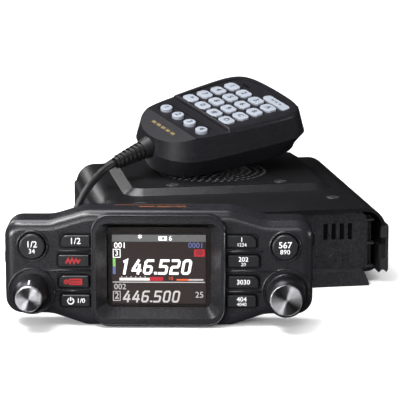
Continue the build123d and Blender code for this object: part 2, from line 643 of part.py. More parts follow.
def encoders():
    """Two rotary encoders with threaded bushes."""
    units = []
    for side in (-1, 1):
        x = side * KNOB_X
        half = ENCODER_HALF
        unit = box(x - half, x + half, HEAD_WALL + 0.4, 8.8, KNOB_Z - half, KNOB_Z + half)
        unit += rod_y(x, KNOB_Z, ENCODER_BUSH_RADIUS, ENCODER_BUSH_FRONT, 3)
        units.append(unit - rod_y(x, KNOB_Z, SHAFT_RADIUS + SHAFT_CLEARANCE, -5, 7.4))
    return Compound(units)


def head_jack():
    """Control-cable socket in the rear of the control head."""
    left, right = HEAD_JACK_X
    low, high = HEAD_JACK_Z
    body = box(left, right, HEAD_SPLIT, HEAD_REAR + 0.4, low, high)
    return body - box(left + 2.2, right - 2.2, HEAD_SPLIT + 1.6, HEAD_REAR + 1, low + 2.6, high - 2.6)


def push_cap(outline_front, outline_stem, front):
    """A key: its cap through the front wall and a thin stem to its switch."""
    return prism_y(outline_front, front, HEAD_WALL + 1.6) + prism_y(outline_stem, HEAD_WALL + 1.5, 6.4)


def head_key(side, row):
    """One rectangular key of the control head."""
    cap = push_cap(key_outline(side, row, 0), Pos(side * SWITCH_X, KEY_Z[row]) * Rectangle(3, 3), KEY_FRONT)
    return chamfer(cap.faces().sort_by(Axis.Y)[0].edges(), 0.35)


def round_button(side):
    """One round button of the control head."""
    place = Pos(side * BUTTON_X, BUTTON_Z)
    cap = push_cap(place * Circle(BUTTON_RADIUS), place * Circle(2), BUTTON_FRONT)
    return fillet(cap.faces().sort_by(Axis.Y)[0].edges(), 0.7)


def knob(side, radius, face_radius, shoulder, bore_gap, ridges):
    """Turned knob: profile spun round the shaft's axis, with grip ridges."""
    back = KNOB_BACK
    profile = [
        (0, back),
        (radius, back),
        (radius, shoulder),
        (face_radius, KNOB_FRONT + 0.5),
        (face_radius - 0.5, KNOB_FRONT),
        (0, KNOB_FRONT),
    ]
    spun = revolve(make_face(Polyline(*profile, close=True)), Axis.Y)
    for number in range(ridges):
        angle = number * 360 / ridges
        ridge = Pos(radius, (shoulder + back) / 2 - 0.2, 0) * Box(0.6, abs(shoulder - back) - 2.5, 0.7)
        spun -= Rot(0, angle, 0) * ridge
    spun -= rod_y(0, 0, SHAFT_RADIUS + bore_gap, -10, 1)
    spun -= rod_y(0, 0, KNOB_RECESS[0], KNOB_RECESS[1], 1)
    return Pos(side * KNOB_X, 0, KNOB_Z) * spun


def knob_shaft(side):
    """Steel encoder shaft."""
    return rod_y(side * KNOB_X, KNOB_Z, SHAFT_RADIUS, -9.8, 6.2)


# --------------------------------------------------------------- microphone
def mic_section(half, inset):
    """Smooth outline of the microphone body through one side's points, drawn in by inset."""
    along = 1 - inset / MIC_HALF_LENGTH
    across = 1 - inset / MIC_HALF_WIDTH
    upper = [(MIC_MIDDLE + (x - MIC_MIDDLE) * along, y * across) for x, y in half]
    lower = [(x, -y) for x, y in reversed(upper[1:-1])]
    return make_face(Spline(*upper, *lower, periodic=True))


def mic_slab(seam, end, inset, z0, z1):
    """The microphone body from its seam outline at z0 to its end outline at z1."""
    return loft([Pos(0, 0, z0) * mic_section(seam, inset), Pos(0, 0, z1) * mic_section(end, inset)])


def clipped_key(length, width, clip):
    """Rectangle with clipped corners, as the keypad's keys have."""
    key = Rectangle(length, width)
    return chamfer(key.vertices(), clip)


def keypad_places(row):
    """Centres of one keypad row's four keys."""
    x = (1.5 - row) * MIC_KEY_PITCH_ALONG
    return [(x, (column - 1.5) * MIC_KEY_PITCH_ACROSS) for column in range(4)]


def program_key_places():
    """Centres of the four round keys."""
    return [(PROGRAM_KEY_X, (1.5 - number) * PROGRAM_KEY_PITCH - 0.5) for number in range(4)]


def mic_front_shell():
    """Key-side half of the microphone with every key opening."""
    shell = mic_slab(MIC_SEAM, MIC_RIM, 0, MIC_SPLIT, MIC_RIM_TOP)
    slope = Pos(PROGRAM_EDGE, 0, PROGRAM_FACE) * Rot(0, -PROGRAM_SLOPE, 0) * box(-40, 0, -40, 40, 0, 30)
    step = box(-60, KEYPAD_STEP, -40, 40, PROGRAM_FACE, 5)
    shell = fillet(shell.faces().sort_by(Axis.Z)[-1].edges(), MIC_RIM_RADIUS)
    shell -= step + slope
    step_edge = shell.faces().sort_by(Axis.Z)[-1].edges().sort_by(Axis.X)[0]
    shell = fillet(step_edge, MIC_STEP_RADIUS)
    keypad = mic_section(MIC_RIM, MIC_RIM_WIDTH) & Pos(25, 0) * Rectangle(2 * (25 - KEYPAD_STEP - 2.2), 80)
    shell -= extrude(Pos(0, 0, MIC_FACE) * keypad, amount=3)
    x, y = PROGRAM_KEY_X + 0.6, program_key_places()[1][1] - PROGRAM_KEY_PITCH / 2
    dish = Pos(x, y, PROGRAM_FACE - 0.5) * RectangleRounded(9.6, 41.0, 4.4)
    shell -= extrude(dish, amount=3)
    shell -= mic_slab(MIC_SEAM, MIC_RIM, MIC_WALL, MIC_SPLIT, MIC_FACE - 4.2)
    gap = MIC_KEY_GAP
    for row in range(4):
        for x, y in keypad_places(row):
            hole = clipped_key(MIC_KEY_SIZE[0] + 2 * gap, MIC_KEY_SIZE[1] + 2 * gap, MIC_KEY_CLIP)
            shell -= extrude(Pos(x, y, MIC_FACE - 6) * hole, amount=8)
    for x, y in program_key_places():
        shell -= rod_z(x, y, PROGRAM_KEY_RADIUS + gap, MIC_FACE - 8, 2)
    x, y, length, width = MUTE_KEY
    long_hole = RectangleRounded(length + 2 * gap, width + 2 * gap, 2.7)
    shell -= extrude(Pos(x, y, MIC_FACE - 6) * long_hole, amount=8)
    shell -= Pos(*SOUND_SLOT, -1) * extrude(RectangleRounded(1.6, 6.0, 0.7), amount=-3, both=True)
    shell -= box(PTT_X[0] - 0.4, PTT_X[1] + 0.4, 21, 34, PTT_Z[0] - 0.4, PTT_Z[1] + 0.4)
    for y in (-END_KEY_Y, END_KEY_Y):
        shell -= box(24, 38, y - 4.9, y + 4.9, -11.4, -5.6)
    return shell - boot_seat()


def mic_back_shell():
    """Rear half of the microphone with the seat for the hanger stud."""
    shell = mic_slab(MIC_SEAM, MIC_FOOT, 0, MIC_SPLIT, MIC_BACK)
    shell = fillet(shell.faces().sort_by(Axis.Z)[0].edges(), 2.5)
    shell -= mic_slab(MIC_SEAM, MIC_FOOT, MIC_WALL, MIC_SPLIT, MIC_BACK + MIC_WALL)
    shell += rod_z(STUD_X, 0, 5, MIC_BACK + 0.5, MIC_BACK + 7)
    shell -= boot_seat()
    return shell - rod_z(STUD_X, 0, 2.0, MIC_BACK - 1, MIC_BACK + 6)


def hanger_stud():
    """Metal button on the microphone's back that hangs it on a clip."""
    stud = rod_z(STUD_X, 0, 2.0, MIC_BACK - 5, MIC_BACK + 5.5)
    stud += rod_z(STUD_X, 0, 4.2, MIC_BACK - 5.2, MIC_BACK)
    head = rod_z(STUD_X, 0, STUD_RADIUS, STUD_REACH, MIC_BACK - 5)
    return stud + fillet(head.faces().sort_by(Axis.Z)[0].edges(), 1.0)


def cord_boot():
    """Flexible sleeve where the cord enters the microphone, with ribs."""
    rest = BOOT_LENGTH - BOOT_COLLAR
    neck = Cone(3.9, 2.5, rest, align=(Align.CENTER, Align.CENTER, Align.MIN))
    sleeve = boot_collar() + Pos(0, 0, BOOT_COLLAR) * neck
    for number in range(6):
        along = BOOT_COLLAR + 1.6 + number * 2.4
        radius = 4.7 - 0.22 * number
        sleeve += Pos(0, 0, along) * Cylinder(radius, 1.4)
    sleeve += Pos(0, 0, rest + BOOT_COLLAR - 0.7) * Cylinder(3.0, 1.4)
    return boot_frame() * sleeve


def boot_collar():
    """The boot's plain collar, along Z from its start."""
    return Cone(5.6, 4.8, BOOT_COLLAR, align=(Align.CENTER, Align.CENTER, Align.MIN))


def boot_seat():
    """Space that the boot's collar takes from both shells."""
    return boot_frame() * boot_collar()


def boot_frame():
    """Placement with Z along the boot, away from the microphone."""
    return Pos(*BOOT_START) * Rot(0, 180 + 90 - BOOT_TILT, 0)


def mic_board():
    """Circuit board of the microphone with its capsule."""
    board = box(-32, 22, -16, 16, BOARD_TOP - 1.6, BOARD_TOP)
    return board + rod_z(19.6, 12.2, 2.9, BOARD_TOP, BOARD_TOP + 2.6)


def mic_key(outline, top):
    """One microphone key with a stem that stops short of the board."""
    lower = BOARD_TOP + 1.2
    cap = extrude(Pos(0, 0, -4.6) * outline, amount=top + 4.6)
    cap = fillet(cap.faces().sort_by(Axis.Z)[-1].edges(), 0.35)
    centre = outline.center()
    return cap + rod_z(centre.X, centre.Y, 1.2, lower, -4.5)


def keypad_row(row):
    """Four keys that lie in one row across the microphone."""
    key = clipped_key(*MIC_KEY_SIZE, MIC_KEY_CLIP)
    return Compound([mic_key(Pos(x, y) * key, 0) for x, y in keypad_places(row)])


def mute_key():
    """Long key beside the top end of the keypad."""
    x, y, length, width = MUTE_KEY
    return mic_key(Pos(x, y) * RectangleRounded(length, width, 2.4), 0)


def program_key(number):
    """One of the four round keys."""
    x, y = program_key_places()[number]
    return mic_key(Pos(x, y) * Circle(PROGRAM_KEY_RADIUS), PROGRAM_KEY_TOP)


def ptt_button():
    """Press-to-talk bar in the microphone's side."""
    bar = box(*PTT_X, 24.6, 30.6, *PTT_Z)
    bar = fillet(bar.edges().filter_by(Axis.Z), 1.6)
    return bar + box(-2, 16, 22.6, 24.7, -11.5, -6)


def end_key(y):
    """One key in the microphone's top end."""
    key = box(*END_KEY_X, y - 4.5, y + 4.5, -11.0, -6.0)
    return fillet(key.faces().sort_by(Axis.X)[-1].edges(), 0.6)


# --------------------------------------------------------------------- cord
def bend_radii(points):
    """Radius at each inner point: 0.45 of the shorter run over tan of half the turn."""
    corners = [Vector(*point) for point in points]
    radii = []
    for before, here, after in zip(corners, corners[1:], corners[2:]):
        arriving, leaving = here - before, after - here
        shorter = min(arriving.length, leaving.length)
        radii.append(0.45 * shorter / tan(radians(arriving.get_angle(leaving)) / 2))
    return radii


def tube(name, points, diameter):
    """Round tube along straight runs joined by tangent arcs."""
    radii = bend_radii(points)
    path = FilletPolyline(*points, radius=radii)
    start = Plane(origin=path @ 0, z_dir=path % 0)
    solid = sweep(start * Circle(diameter / 2), path=path)
    ratio = solid.volume / (pi * diameter ** 2 / 4 * path.length)
    print(name, "length", round(path.length, 1), "radii", [round(radius, 1) for radius in radii])
    print(name, "volume over section times length", round(ratio, 4))
    return solid


def boot_ends():
    """Where the cord leaves the boot, and a point further along the same line."""
    frame = MIC_PLACE * boot_frame()
    return [tuple((frame * Pos(0, 0, along)).position) for along in (BOOT_LENGTH, BOOT_LENGTH + 6)]


PLUG_REAR = -76.0
LEAD_POINTS = [
    (-64.4, -2.7, 44.5),
    (-70.2, -11.0, 40.8),
    (-75.0, -19.0, 36.0),
    (-80.0, -28.0, 29.0),
    (-86.0, -36.0, 20.0),
    (-92.0, -43.5, 12.0),
    (-96.6, -50.0, 7.6),
    (-98.4, -56.5, COIL_HEIGHT),
]
COIL_POINTS = [
    (-98.5, -63.5, COIL_HEIGHT),
    (-98.7, -77.5, COIL_HEIGHT),
    (-88.0, -87.5, COIL_HEIGHT),
    (-70.0, -91.0, COIL_HEIGHT),
    (-50.0, -93.5, COIL_HEIGHT),
    (-30.0, -98.0, COIL_HEIGHT),
    (-8.0, -101.5, COIL_HEIGHT),
]
TAIL_POINTS = [
    (-1.0, -102.6, COIL_HEIGHT),
    (6.5, -102.0, 7.4),
    (13.2, -98.4, 9.8),
    (17.4, -92.0, 13.6),
    (MIC_JACK_X, -84.0, JACK_Z),
]


def mic_plug():
    """Modular plug with its short sleeve, seated in the microphone socket."""
    x = MIC_JACK_X
    plug = box(x - 5.7, x + 5.7, PANEL_FRONT - 8, -52, JACK_Z - 3.9, JACK_Z + 3.9)
    plug += box(x - 4.8, x + 4.8, PLUG_REAR + 2, PANEL_FRONT - 7, JACK_Z - 3.4, JACK_Z + 3.4)
    return plug + rod_y(x, JACK_Z, 2.9, PLUG_REAR, PLUG_REAR + 3)


def build():
    """Every node's shape, in the row frame."""
    main = {
        "main_chassis": chassis(),
        "top_cover": top_cover(),
        "front_panel": front_panel(),
        "side_bracket_left": side_bracket(-1),
        "side_bracket_right": side_bracket(1),
        "case_screws": case_screws(),
        "main_board": main_board(),
        "loudspeaker": loudspeaker(),
        "power_module": box(22, 56, 34, 51, CASE_BOTTOM + CHASSIS_WALL, 16),
        "fan_frame": fan_frame(),
        "fan_rotor": fan_rotor(),
        "antenna_connector": antenna_connector(),
        "dc_gland": dc_gland(),
        "rear_jacks": rear_jacks(),
        "front_jacks": front_jacks(),
        "mic_plug": mic_plug(),
    }
    head = {
        "head_front_shell": head_front_shell(),
        "head_rear_shell": head_rear_shell(),
        "head_screws": head_screws(),
        "display_bezel": display_bezel(),
        "display_window": display_window(),
        "lcd_panel": lcd_panel(),
        "head_board": head_board(),
        "encoders": encoders(),
        "head_jack": head_jack(),
        "round_button_left": round_button(-1),
        "round_button_right": round_button(1),
        "volume_knob": knob(-1, 7.7, 6.0, -10.4, 0, 0),
        "volume_shaft": knob_shaft(-1),
        "dial_knob": knob(1, 8.7, 7.3, -14.6, SHAFT_CLEARANCE, 36),
        "dial_shaft": knob_shaft(1),
    }
    for row in range(len(KEY_Z)):
        head[f"left_key_{row + 1}"] = head_key(-1, row)
        head[f"right_key_{row + 1}"] = head_key(1, row)
    mic = {
        "mic_front_shell": mic_front_shell(),
        "mic_back_shell": mic_back_shell(),
        "hanger_stud": hanger_stud(),
        "cord_boot": cord_boot(),
        "mic_board": mic_board(),
        "ptt_button": ptt_button(),
        "up_key": end_key(END_KEY_Y),
        "down_key": end_key(-END_KEY_Y),
        "mute_key": mute_key(),
    }
    for number in range(4):
        mic[f"program_key_{number + 1}"] = program_key(number)
        mic[f"keypad_row_{number + 1}"] = keypad_row(number)
    nodes = dict(main)
    nodes.update({name: HEAD_PLACE * shape for name, shape in head.items()})
    nodes.update({name: MIC_PLACE * shape for name, shape in mic.items()})
    tip, exit_point = boot_ends()
    lead = [tip, exit_point] + LEAD_POINTS + [COIL_POINTS[0]]
    tail = [COIL_POINTS[-1]] + TAIL_POINTS + [(MIC_JACK_X, PLUG_REAR, JACK_Z)]
    nodes["cord_lead"] = tube("cord_lead", lead, CORD_DIAMETER)
    nodes["cord_coil"] = tube("cord_coil", COIL_POINTS, COIL_DIAMETER)
    nodes["cord_tail"] = tube("cord_tail", tail, CORD_DIAMETER)
    return nodes


def save(nodes):
    """Write one STEP file per node."""
    os.makedirs("parts", exist_ok=True)
    for name, shape in nodes.items():
        export_step(shape, f"parts/{name}.step")


if __name__ == "__main__":
    save(build())
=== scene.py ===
import bpy
import bmesh
import json
from math import cos, pi, radians, sin
from mathutils import Euler, Matrix, Vector


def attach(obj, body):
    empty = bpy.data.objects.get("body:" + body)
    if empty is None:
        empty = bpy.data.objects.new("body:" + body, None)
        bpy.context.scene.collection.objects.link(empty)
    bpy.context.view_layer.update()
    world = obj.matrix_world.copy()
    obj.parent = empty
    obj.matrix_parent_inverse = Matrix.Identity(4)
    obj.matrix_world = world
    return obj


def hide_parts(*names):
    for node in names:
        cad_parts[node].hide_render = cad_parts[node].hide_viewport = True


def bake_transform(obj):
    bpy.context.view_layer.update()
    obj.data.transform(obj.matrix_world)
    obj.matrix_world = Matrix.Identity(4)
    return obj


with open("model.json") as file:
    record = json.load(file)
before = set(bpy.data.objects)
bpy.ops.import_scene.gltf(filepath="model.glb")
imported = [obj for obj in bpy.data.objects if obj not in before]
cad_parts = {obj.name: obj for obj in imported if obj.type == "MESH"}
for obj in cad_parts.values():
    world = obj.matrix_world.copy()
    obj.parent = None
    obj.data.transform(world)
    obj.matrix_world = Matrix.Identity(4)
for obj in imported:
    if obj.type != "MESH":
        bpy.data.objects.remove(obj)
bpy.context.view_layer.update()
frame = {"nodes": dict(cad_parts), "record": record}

nodes = frame["nodes"]
MM = 0.001


def mm(x, y, z):
    """A point given in millimetres."""
    return Vector((x * MM, y * MM, z * MM))


# ------------------------------------------------------------------- camera
CAMERA_PLACE = (-181.8, -1025.9, 254.7)
CAMERA_TILT = 77.804
CAMERA_TURN = -9.398
CAMERA_LENS = 188.66


def make_camera():
    """The photograph's viewpoint: a long lens, a little from the left and above."""
    data = bpy.data.cameras.new("camera")
    data.sensor_width = 36.0
    data.lens = CAMERA_LENS
    data.clip_start = 0.05
    data.clip_end = 20.0
    camera = bpy.data.objects.new("camera", data)
    bpy.context.scene.collection.objects.link(camera)
    camera.location = mm(*CAMERA_PLACE)
    camera.rotation_euler = Euler((radians(CAMERA_TILT), 0, radians(CAMERA_TURN)))
    bpy.context.scene.camera = camera


make_camera()


# -------------------------------------------------------------------- cord
CORD_RADIUS = 1.8 * MM
COIL_RADIUS = 6.0 * MM
COIL_HEIGHT = 6.3
HELIX_PITCH = 3.7 * MM
HELIX_STEPS = 14
HELIX_EASE = 2.5 * HELIX_STEPS
ROUTE_STEPS = 8
CORD_SIDES = 12
LEAD_POINTS = [
    (-64.4, -2.7, 44.5),
    (-70.2, -11.0, 40.8),
    (-75.0, -19.0, 36.0),
    (-80.0, -28.0, 29.0),
    (-86.0, -36.0, 20.0),
    (-92.0, -43.5, 12.0),
    (-96.6, -50.0, 7.6),
    (-98.4, -56.5, COIL_HEIGHT),
]
COIL_POINTS = [
    (-98.5, -63.5, COIL_HEIGHT),
    (-98.7, -77.5, COIL_HEIGHT),
    (-88.0, -87.5, COIL_HEIGHT),
    (-70.0, -91.0, COIL_HEIGHT),
    (-50.0, -93.5, COIL_HEIGHT),
    (-30.0, -98.0, COIL_HEIGHT),
    (-8.0, -101.5, COIL_HEIGHT),
]
TAIL_POINTS = [
    (-1.0, -102.6, COIL_HEIGHT),
    (6.5, -102.0, 7.4),
    (13.2, -98.4, 9.8),
    (17.4, -92.0, 13.6),
    (18.0, -84.0, 18.0),
]
PLUG_REAR = (18.0, -76.0, 18.0)
BOOT_PLACE = (-50, 0, -12)
BOOT_TURN = 260
BOOT_LENGTH = 21
BOOT_STRAIGHT = 6
MIC_PLACE = (
    Matrix.Translation(mm(8.5, 30.6, 74.5))
    @ Matrix.Rotation(radians(25.2), 4, "Z")
    @ Matrix.Rotation(radians(-8.1), 4, "Y")
    @ Matrix.Rotation(radians(13.4), 4, "X")
)
HEAD_PLACE = Matrix.Translation(mm(-51.6, -125.9, 0)) @ Matrix.Rotation(radians(-10.3), 4, "Z")


def boot_exit():
    """Where the cord leaves the boot, and a point straight on from there."""
    boot = MIC_PLACE @ Matrix.Translation(mm(*BOOT_PLACE))
    boot = boot @ Matrix.Rotation(radians(BOOT_TURN), 4, "Y")
    return [boot @ mm(0, 0, along) for along in (BOOT_LENGTH, BOOT_LENGTH + BOOT_STRAIGHT)]


def mesh_of(holder):
    """The mesh that a curve or text object shows."""
    graph = bpy.context.evaluated_depsgraph_get()
    return bpy.data.meshes.new_from_object(holder.evaluated_get(graph))


def read_spline(points):
    """Points along a smooth NURBS line with these control points."""
    data = bpy.data.curves.new("route", "CURVE")
    data.dimensions = "3D"
    data.resolution_u = ROUTE_STEPS
    spline = data.splines.new("NURBS")
    spline.points.add(len(points) - 1)
    for control, point in zip(spline.points, points):
        control.co = (*point, 1)
    spline.order_u = 3
    spline.use_endpoint_u = True
    holder = bpy.data.objects.new("route", data)
    bpy.context.scene.collection.objects.link(holder)
    mesh = mesh_of(holder)
    line = [vertex.co.copy() for vertex in mesh.vertices]
    bpy.data.objects.remove(holder)
    bpy.data.curves.remove(data)
    bpy.data.meshes.remove(mesh)
    return line


def frames_along(line):
    """A direction and a steady sideways direction at each point of a line."""
    side = Vector((0, 0, 1))
    result = []
    for number, point in enumerate(line):
        before = line[max(number - 1, 0)]
        after = line[min(number + 1, len(line) - 1)]
        ahead = (after - before).normalized()
        side = (side - ahead * side.dot(ahead)).normalized()
        result.append((point, ahead, side))
    return result


def helix_points():
    """The curly part's turns, wound round its route and opening out smoothly at both ends."""
    line = frames_along(read_spline([mm(*p) for p in COIL_POINTS]))
    radius = COIL_RADIUS - CORD_RADIUS
    points = []
    walked = [0.0]
    for (a, _, _), (b, _, _) in zip(line, line[1:]):
        walked.append(walked[-1] + (b - a).length)
    total = walked[-1]
    count = int(total / HELIX_PITCH * HELIX_STEPS)
    place = 0
    for step in range(count + 1):
        along = total * step / count
        while place < len(walked) - 2 and walked[place + 1] < along:
            place += 1
        share = (along - walked[place]) / (walked[place + 1] - walked[place])
        centre = line[place][0].lerp(line[place + 1][0], share)
        ahead = line[place][1].lerp(line[place + 1][1], share).normalized()
        side = line[place][2]
        side = (side - ahead * side.dot(ahead)).normalized()
        across = ahead.cross(side)
        turn = 2 * pi * step / HELIX_STEPS
        open_share = min(1.0, step / HELIX_EASE, (count - step) / HELIX_EASE)
        out = radius * open_share * open_share * (3 - 2 * open_share)
        points.append(centre + (side * cos(turn) + across * sin(turn)) * out)
    return points


def tube_mesh(name, line, radius, sides):
    """A closed round tube round a line."""
    mesh = bmesh.new()
    rings = []
    for point, ahead, side in frames_along(line):
        across = ahead.cross(side)
        ring = []
        for step in range(sides):
            angle = 2 * pi * step / sides
            ring.append(mesh.verts.new(point + (side * cos(angle) + across * sin(angle)) * radius))
        rings.append(ring)
    for first, second in zip(rings, rings[1:]):
        for step in range(sides):
            other = (step + 1) % sides
            mesh.faces.new((first[step], first[other], second[other], second[step]))
    mesh.faces.new(rings[0][::-1])
    mesh.faces.new(rings[-1])
    return as_object(name, mesh)


def as_object(name, mesh, smooth=True):
    """A new object from a bmesh, with its faces turned outwards."""
    bmesh.ops.recalc_face_normals(mesh, faces=mesh.faces)
    data = bpy.data.meshes.new(name)
    mesh.to_mesh(data)
    mesh.free()
    for face in data.polygons:
        face.use_smooth = smooth
    made = bpy.data.objects.new(name, data)
    bpy.context.scene.collection.objects.link(made)
    return made


def make_cord():
    """The microphone's cord: a straight lead, the curly part and a straight tail to the plug."""
    tip, ahead = boot_exit()
    route = [tip, ahead] + [mm(*p) for p in LEAD_POINTS]
    route += helix_points()
    route += [mm(*p) for p in TAIL_POINTS] + [mm(*PLUG_REAR)]
    line = read_spline(route)
    cord = tube_mesh("mic_cord", line, CORD_RADIUS, CORD_SIDES)
    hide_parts("cord_lead", "cord_coil", "cord_tail")
    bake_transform(cord)
    return cord


cord = make_cord()


# --------------------------------------------------------------- materials
NOISE_LOW = 0.3
NOISE_HIGH = 0.7
GLOSS_BELOW = 0.06
GLOSS_ABOVE = 0.08
GRAIN_STRENGTH = 0.5
SPUN_RINGS = 700.0
SPUN_LIGHTER = 1.3
SPUN_RELIEF = 0.00002
GLOW_DIMMER = 0.85
WINDOW_ALPHA = 0.16


def new_material(name):
    """An empty node material with its shader."""
    material = bpy.data.materials.new(name)
    material.use_nodes = True
    tree = material.node_tree
    return material, tree, tree.nodes["Principled BSDF"]


def add_noise(tree, scale, detail=3.0, rough=0.5):
    """Noise in the object's own coordinates, scale in waves per metre."""
    place = tree.nodes.new("ShaderNodeTexCoord")
    noise = tree.nodes.new("ShaderNodeTexNoise")
    noise.inputs["Scale"].default_value = scale
    noise.inputs["Detail"].default_value = detail
    noise.inputs["Roughness"].default_value = rough
    tree.links.new(place.outputs["Object"], noise.inputs["Vector"])
    return noise.outputs["Fac"]


def add_ramp(tree, factor, stops):
    """Colours along a factor."""
    ramp = tree.nodes.new("ShaderNodeValToRGB")
    elements = ramp.color_ramp.elements
    while len(elements) < len(stops):
        elements.new(0.5)
    for element, (position, colour) in zip(elements, stops):
        element.position = position
        element.color = (*colour, 1)
    tree.links.new(factor, ramp.inputs["Fac"])
    return ramp.outputs["Color"]


def add_range(tree, factor, low, high):
    """A factor spread between two values."""
    spread = tree.nodes.new("ShaderNodeMapRange")
    spread.inputs["From Min"].default_value = NOISE_LOW
    spread.inputs["From Max"].default_value = NOISE_HIGH
    spread.inputs["To Min"].default_value = low
    spread.inputs["To Max"].default_value = high
    tree.links.new(factor, spread.inputs["Value"])
    return spread.outputs["Result"]


def add_bump(tree, shader, height, distance, strength):
    """Fine relief on the shader's normal."""
    bump = tree.nodes.new("ShaderNodeBump")
    bump.inputs["Strength"].default_value = strength
    bump.inputs["Distance"].default_value = distance
    tree.links.new(height, bump.inputs["Height"])
    tree.links.new(bump.outputs["Normal"], shader.inputs["Normal"])


def grained(
    name, colour, roughness, grain, relief, metallic=0.0, variation=0.25, specular=0.5, mottle=45.0
):
    """Moulded or painted surface: fine grain, uneven colour and uneven gloss."""
    material, tree, shader = new_material(name)
    fine = add_noise(tree, grain)
    broad = add_noise(tree, mottle, 4.0)
    dark = [c * (1 - variation) for c in colour]
    light = [c * (1 + variation) for c in colour]
    shade = add_ramp(tree, broad, [(NOISE_LOW, dark), (NOISE_HIGH, light)])
    gloss = add_range(tree, fine, roughness - GLOSS_BELOW, roughness + GLOSS_ABOVE)
    tree.links.new(shade, shader.inputs["Base Color"])
    tree.links.new(gloss, shader.inputs["Roughness"])
    shader.inputs["Metallic"].default_value = metallic
    shader.inputs["Specular IOR Level"].default_value = specular
    add_bump(tree, shader, fine, relief, GRAIN_STRENGTH)
    return material


def spun_metal(name, colour):
    """Turned metal with fine rings round its own Z axis."""
    material, tree, shader = new_material(name)
    place = tree.nodes.new("ShaderNodeTexCoord")
    rings = tree.nodes.new("ShaderNodeTexWave")
    rings.wave_type = "RINGS"
    rings.rings_direction = "Z"
    rings.inputs["Scale"].default_value = SPUN_RINGS
    rings.inputs["Distortion"].default_value = 0.4
    rings.inputs["Detail"].default_value = 1.0
    tree.links.new(place.outputs["Object"], rings.inputs["Vector"])
    light = [c * SPUN_LIGHTER for c in colour]
    shade = add_ramp(tree, rings.outputs["Fac"], [(0.1, colour), (0.9, light)])
    gloss = add_range(tree, rings.outputs["Fac"], 0.34, 0.42)
    tree.links.new(shade, shader.inputs["Base Color"])
    tree.links.new(gloss, shader.inputs["Roughness"])
    shader.inputs["Metallic"].default_value = 1.0
    shader.inputs["Anisotropic"].default_value = 0.95
    tangent = tree.nodes.new("ShaderNodeTangent")
    tangent.direction_type = "RADIAL"
    tangent.axis = "Z"
    tree.links.new(tangent.outputs["Tangent"], shader.inputs["Tangent"])
    add_bump(tree, shader, rings.outputs["Fac"], SPUN_RELIEF, 0.3)
    return material


def glowing(name, colour, strength):
    """Lit marks of the display, a little uneven."""
    material, tree, shader = new_material(name)
    uneven = add_noise(tree, 900.0, 2.0)
    dim = [c * GLOW_DIMMER for c in colour]
    shade = add_ramp(tree, uneven, [(NOISE_LOW, dim), (NOISE_HIGH, colour)])
    tree.links.new(shade, shader.inputs["Base Color"])
    tree.links.new(shade, shader.inputs["Emission Color"])
    shader.inputs["Emission Strength"].default_value = strength
    shader.inputs["Roughness"].default_value = 0.6
    return material


def clear_window():
    """Dark tinted window that keeps the display visible."""
    material, tree, shader = new_material("window_glass")
    smear = add_noise(tree, 120.0, 3.0)
    dark, light = (0.004, 0.004, 0.005), (0.006, 0.006, 0.007)
    shade = add_ramp(tree, smear, [(NOISE_LOW, dark), (NOISE_HIGH, light)])
    tree.links.new(shade, shader.inputs["Base Color"])
    tree.links.new(add_range(tree, smear, 0.04, 0.08), shader.inputs["Roughness"])
    shader.inputs["Alpha"].default_value = WINDOW_ALPHA
    material.blend_method = "BLEND"
    return material


def moulded(name, colour, roughness, grain, relief, **more):
    """A name and its grained material, for the table of paints."""
    return name, grained(name, colour, roughness, grain, relief, **more)


# name, colour, roughness, waves of grain per metre, height of the grain in metres
PAINT = dict([
    moulded("cast_metal", (0.016, 0.016, 0.0172), 0.42, 2600.0, 0.00008, metallic=0.2),
    moulded(
        "cover_paint", (0.0075, 0.0073, 0.0084), 0.30, 3200.0, 0.00005, variation=0.15, specular=0.8
    ),
    moulded(
        "panel_plastic", (0.022, 0.021, 0.0245), 0.42, 1100.0, 0.0006, variation=0.5, mottle=1000.0
    ),
    moulded("bracket_plastic", (0.024, 0.023, 0.027), 0.36, 2400.0, 0.00005),
    moulded("screw_steel", (0.16, 0.16, 0.17), 0.42, 1800.0, 0.00004, metallic=0.9),
    moulded("board_green", (0.012, 0.07, 0.03), 0.35, 900.0, 0.00006),
    moulded("speaker_black", (0.012, 0.012, 0.013), 0.75, 1500.0, 0.0001),
    moulded("module_metal", (0.5, 0.5, 0.52), 0.38, 1400.0, 0.00004, metallic=1.0, variation=0.08),
    moulded("fan_plastic", (0.014, 0.014, 0.015), 0.45, 1800.0, 0.00005),
    moulded(
        "plated_metal", (0.50, 0.49, 0.47), 0.32, 1600.0, 0.00002, metallic=0.6, variation=0.08
    ),
    moulded("rubber_black", (0.006, 0.006, 0.0068), 0.42, 2200.0, 0.00006, variation=0.2),
    moulded("jack_plastic", (0.014, 0.014, 0.015), 0.4, 1500.0, 0.00004),
    moulded("plug_plastic", (0.03, 0.03, 0.033), 0.3, 1200.0, 0.00003),
    moulded("head_plastic", (0.0130, 0.0127, 0.0152), 0.27, 3600.0, 0.00004, variation=0.12),
    moulded(
        "bezel_plastic", (0.0105, 0.0105, 0.0125), 0.28, 3600.0, 0.00003,
        variation=0.12, specular=0.8,
    ),
    moulded(
        "mic_plastic", (0.0105, 0.0100, 0.0120), 0.34, 1300.0, 0.00012,
        variation=0.40, specular=0.22, mottle=1200.0,
    ),
    moulded("key_light", (0.235, 0.255, 0.295), 0.35, 1500.0, 0.00003, variation=0.05),
    moulded("key_dark", (0.0110, 0.0107, 0.0125), 0.32, 3000.0, 0.00003, variation=0.12),
    moulded("lcd", (0.016, 0.011, 0.010), 0.4, 900.0, 0.00001, variation=0.1),
    ("window_clear", clear_window()),
    ("knob_metal", spun_metal("knob_metal", (0.36, 0.36, 0.375))),
])
KNOB_DARK = grained(
    "knob_dark", (0.05, 0.05, 0.055), 0.34, 2600.0, 0.00003,
    metallic=0.9, variation=0.1, specular=0.6,
)
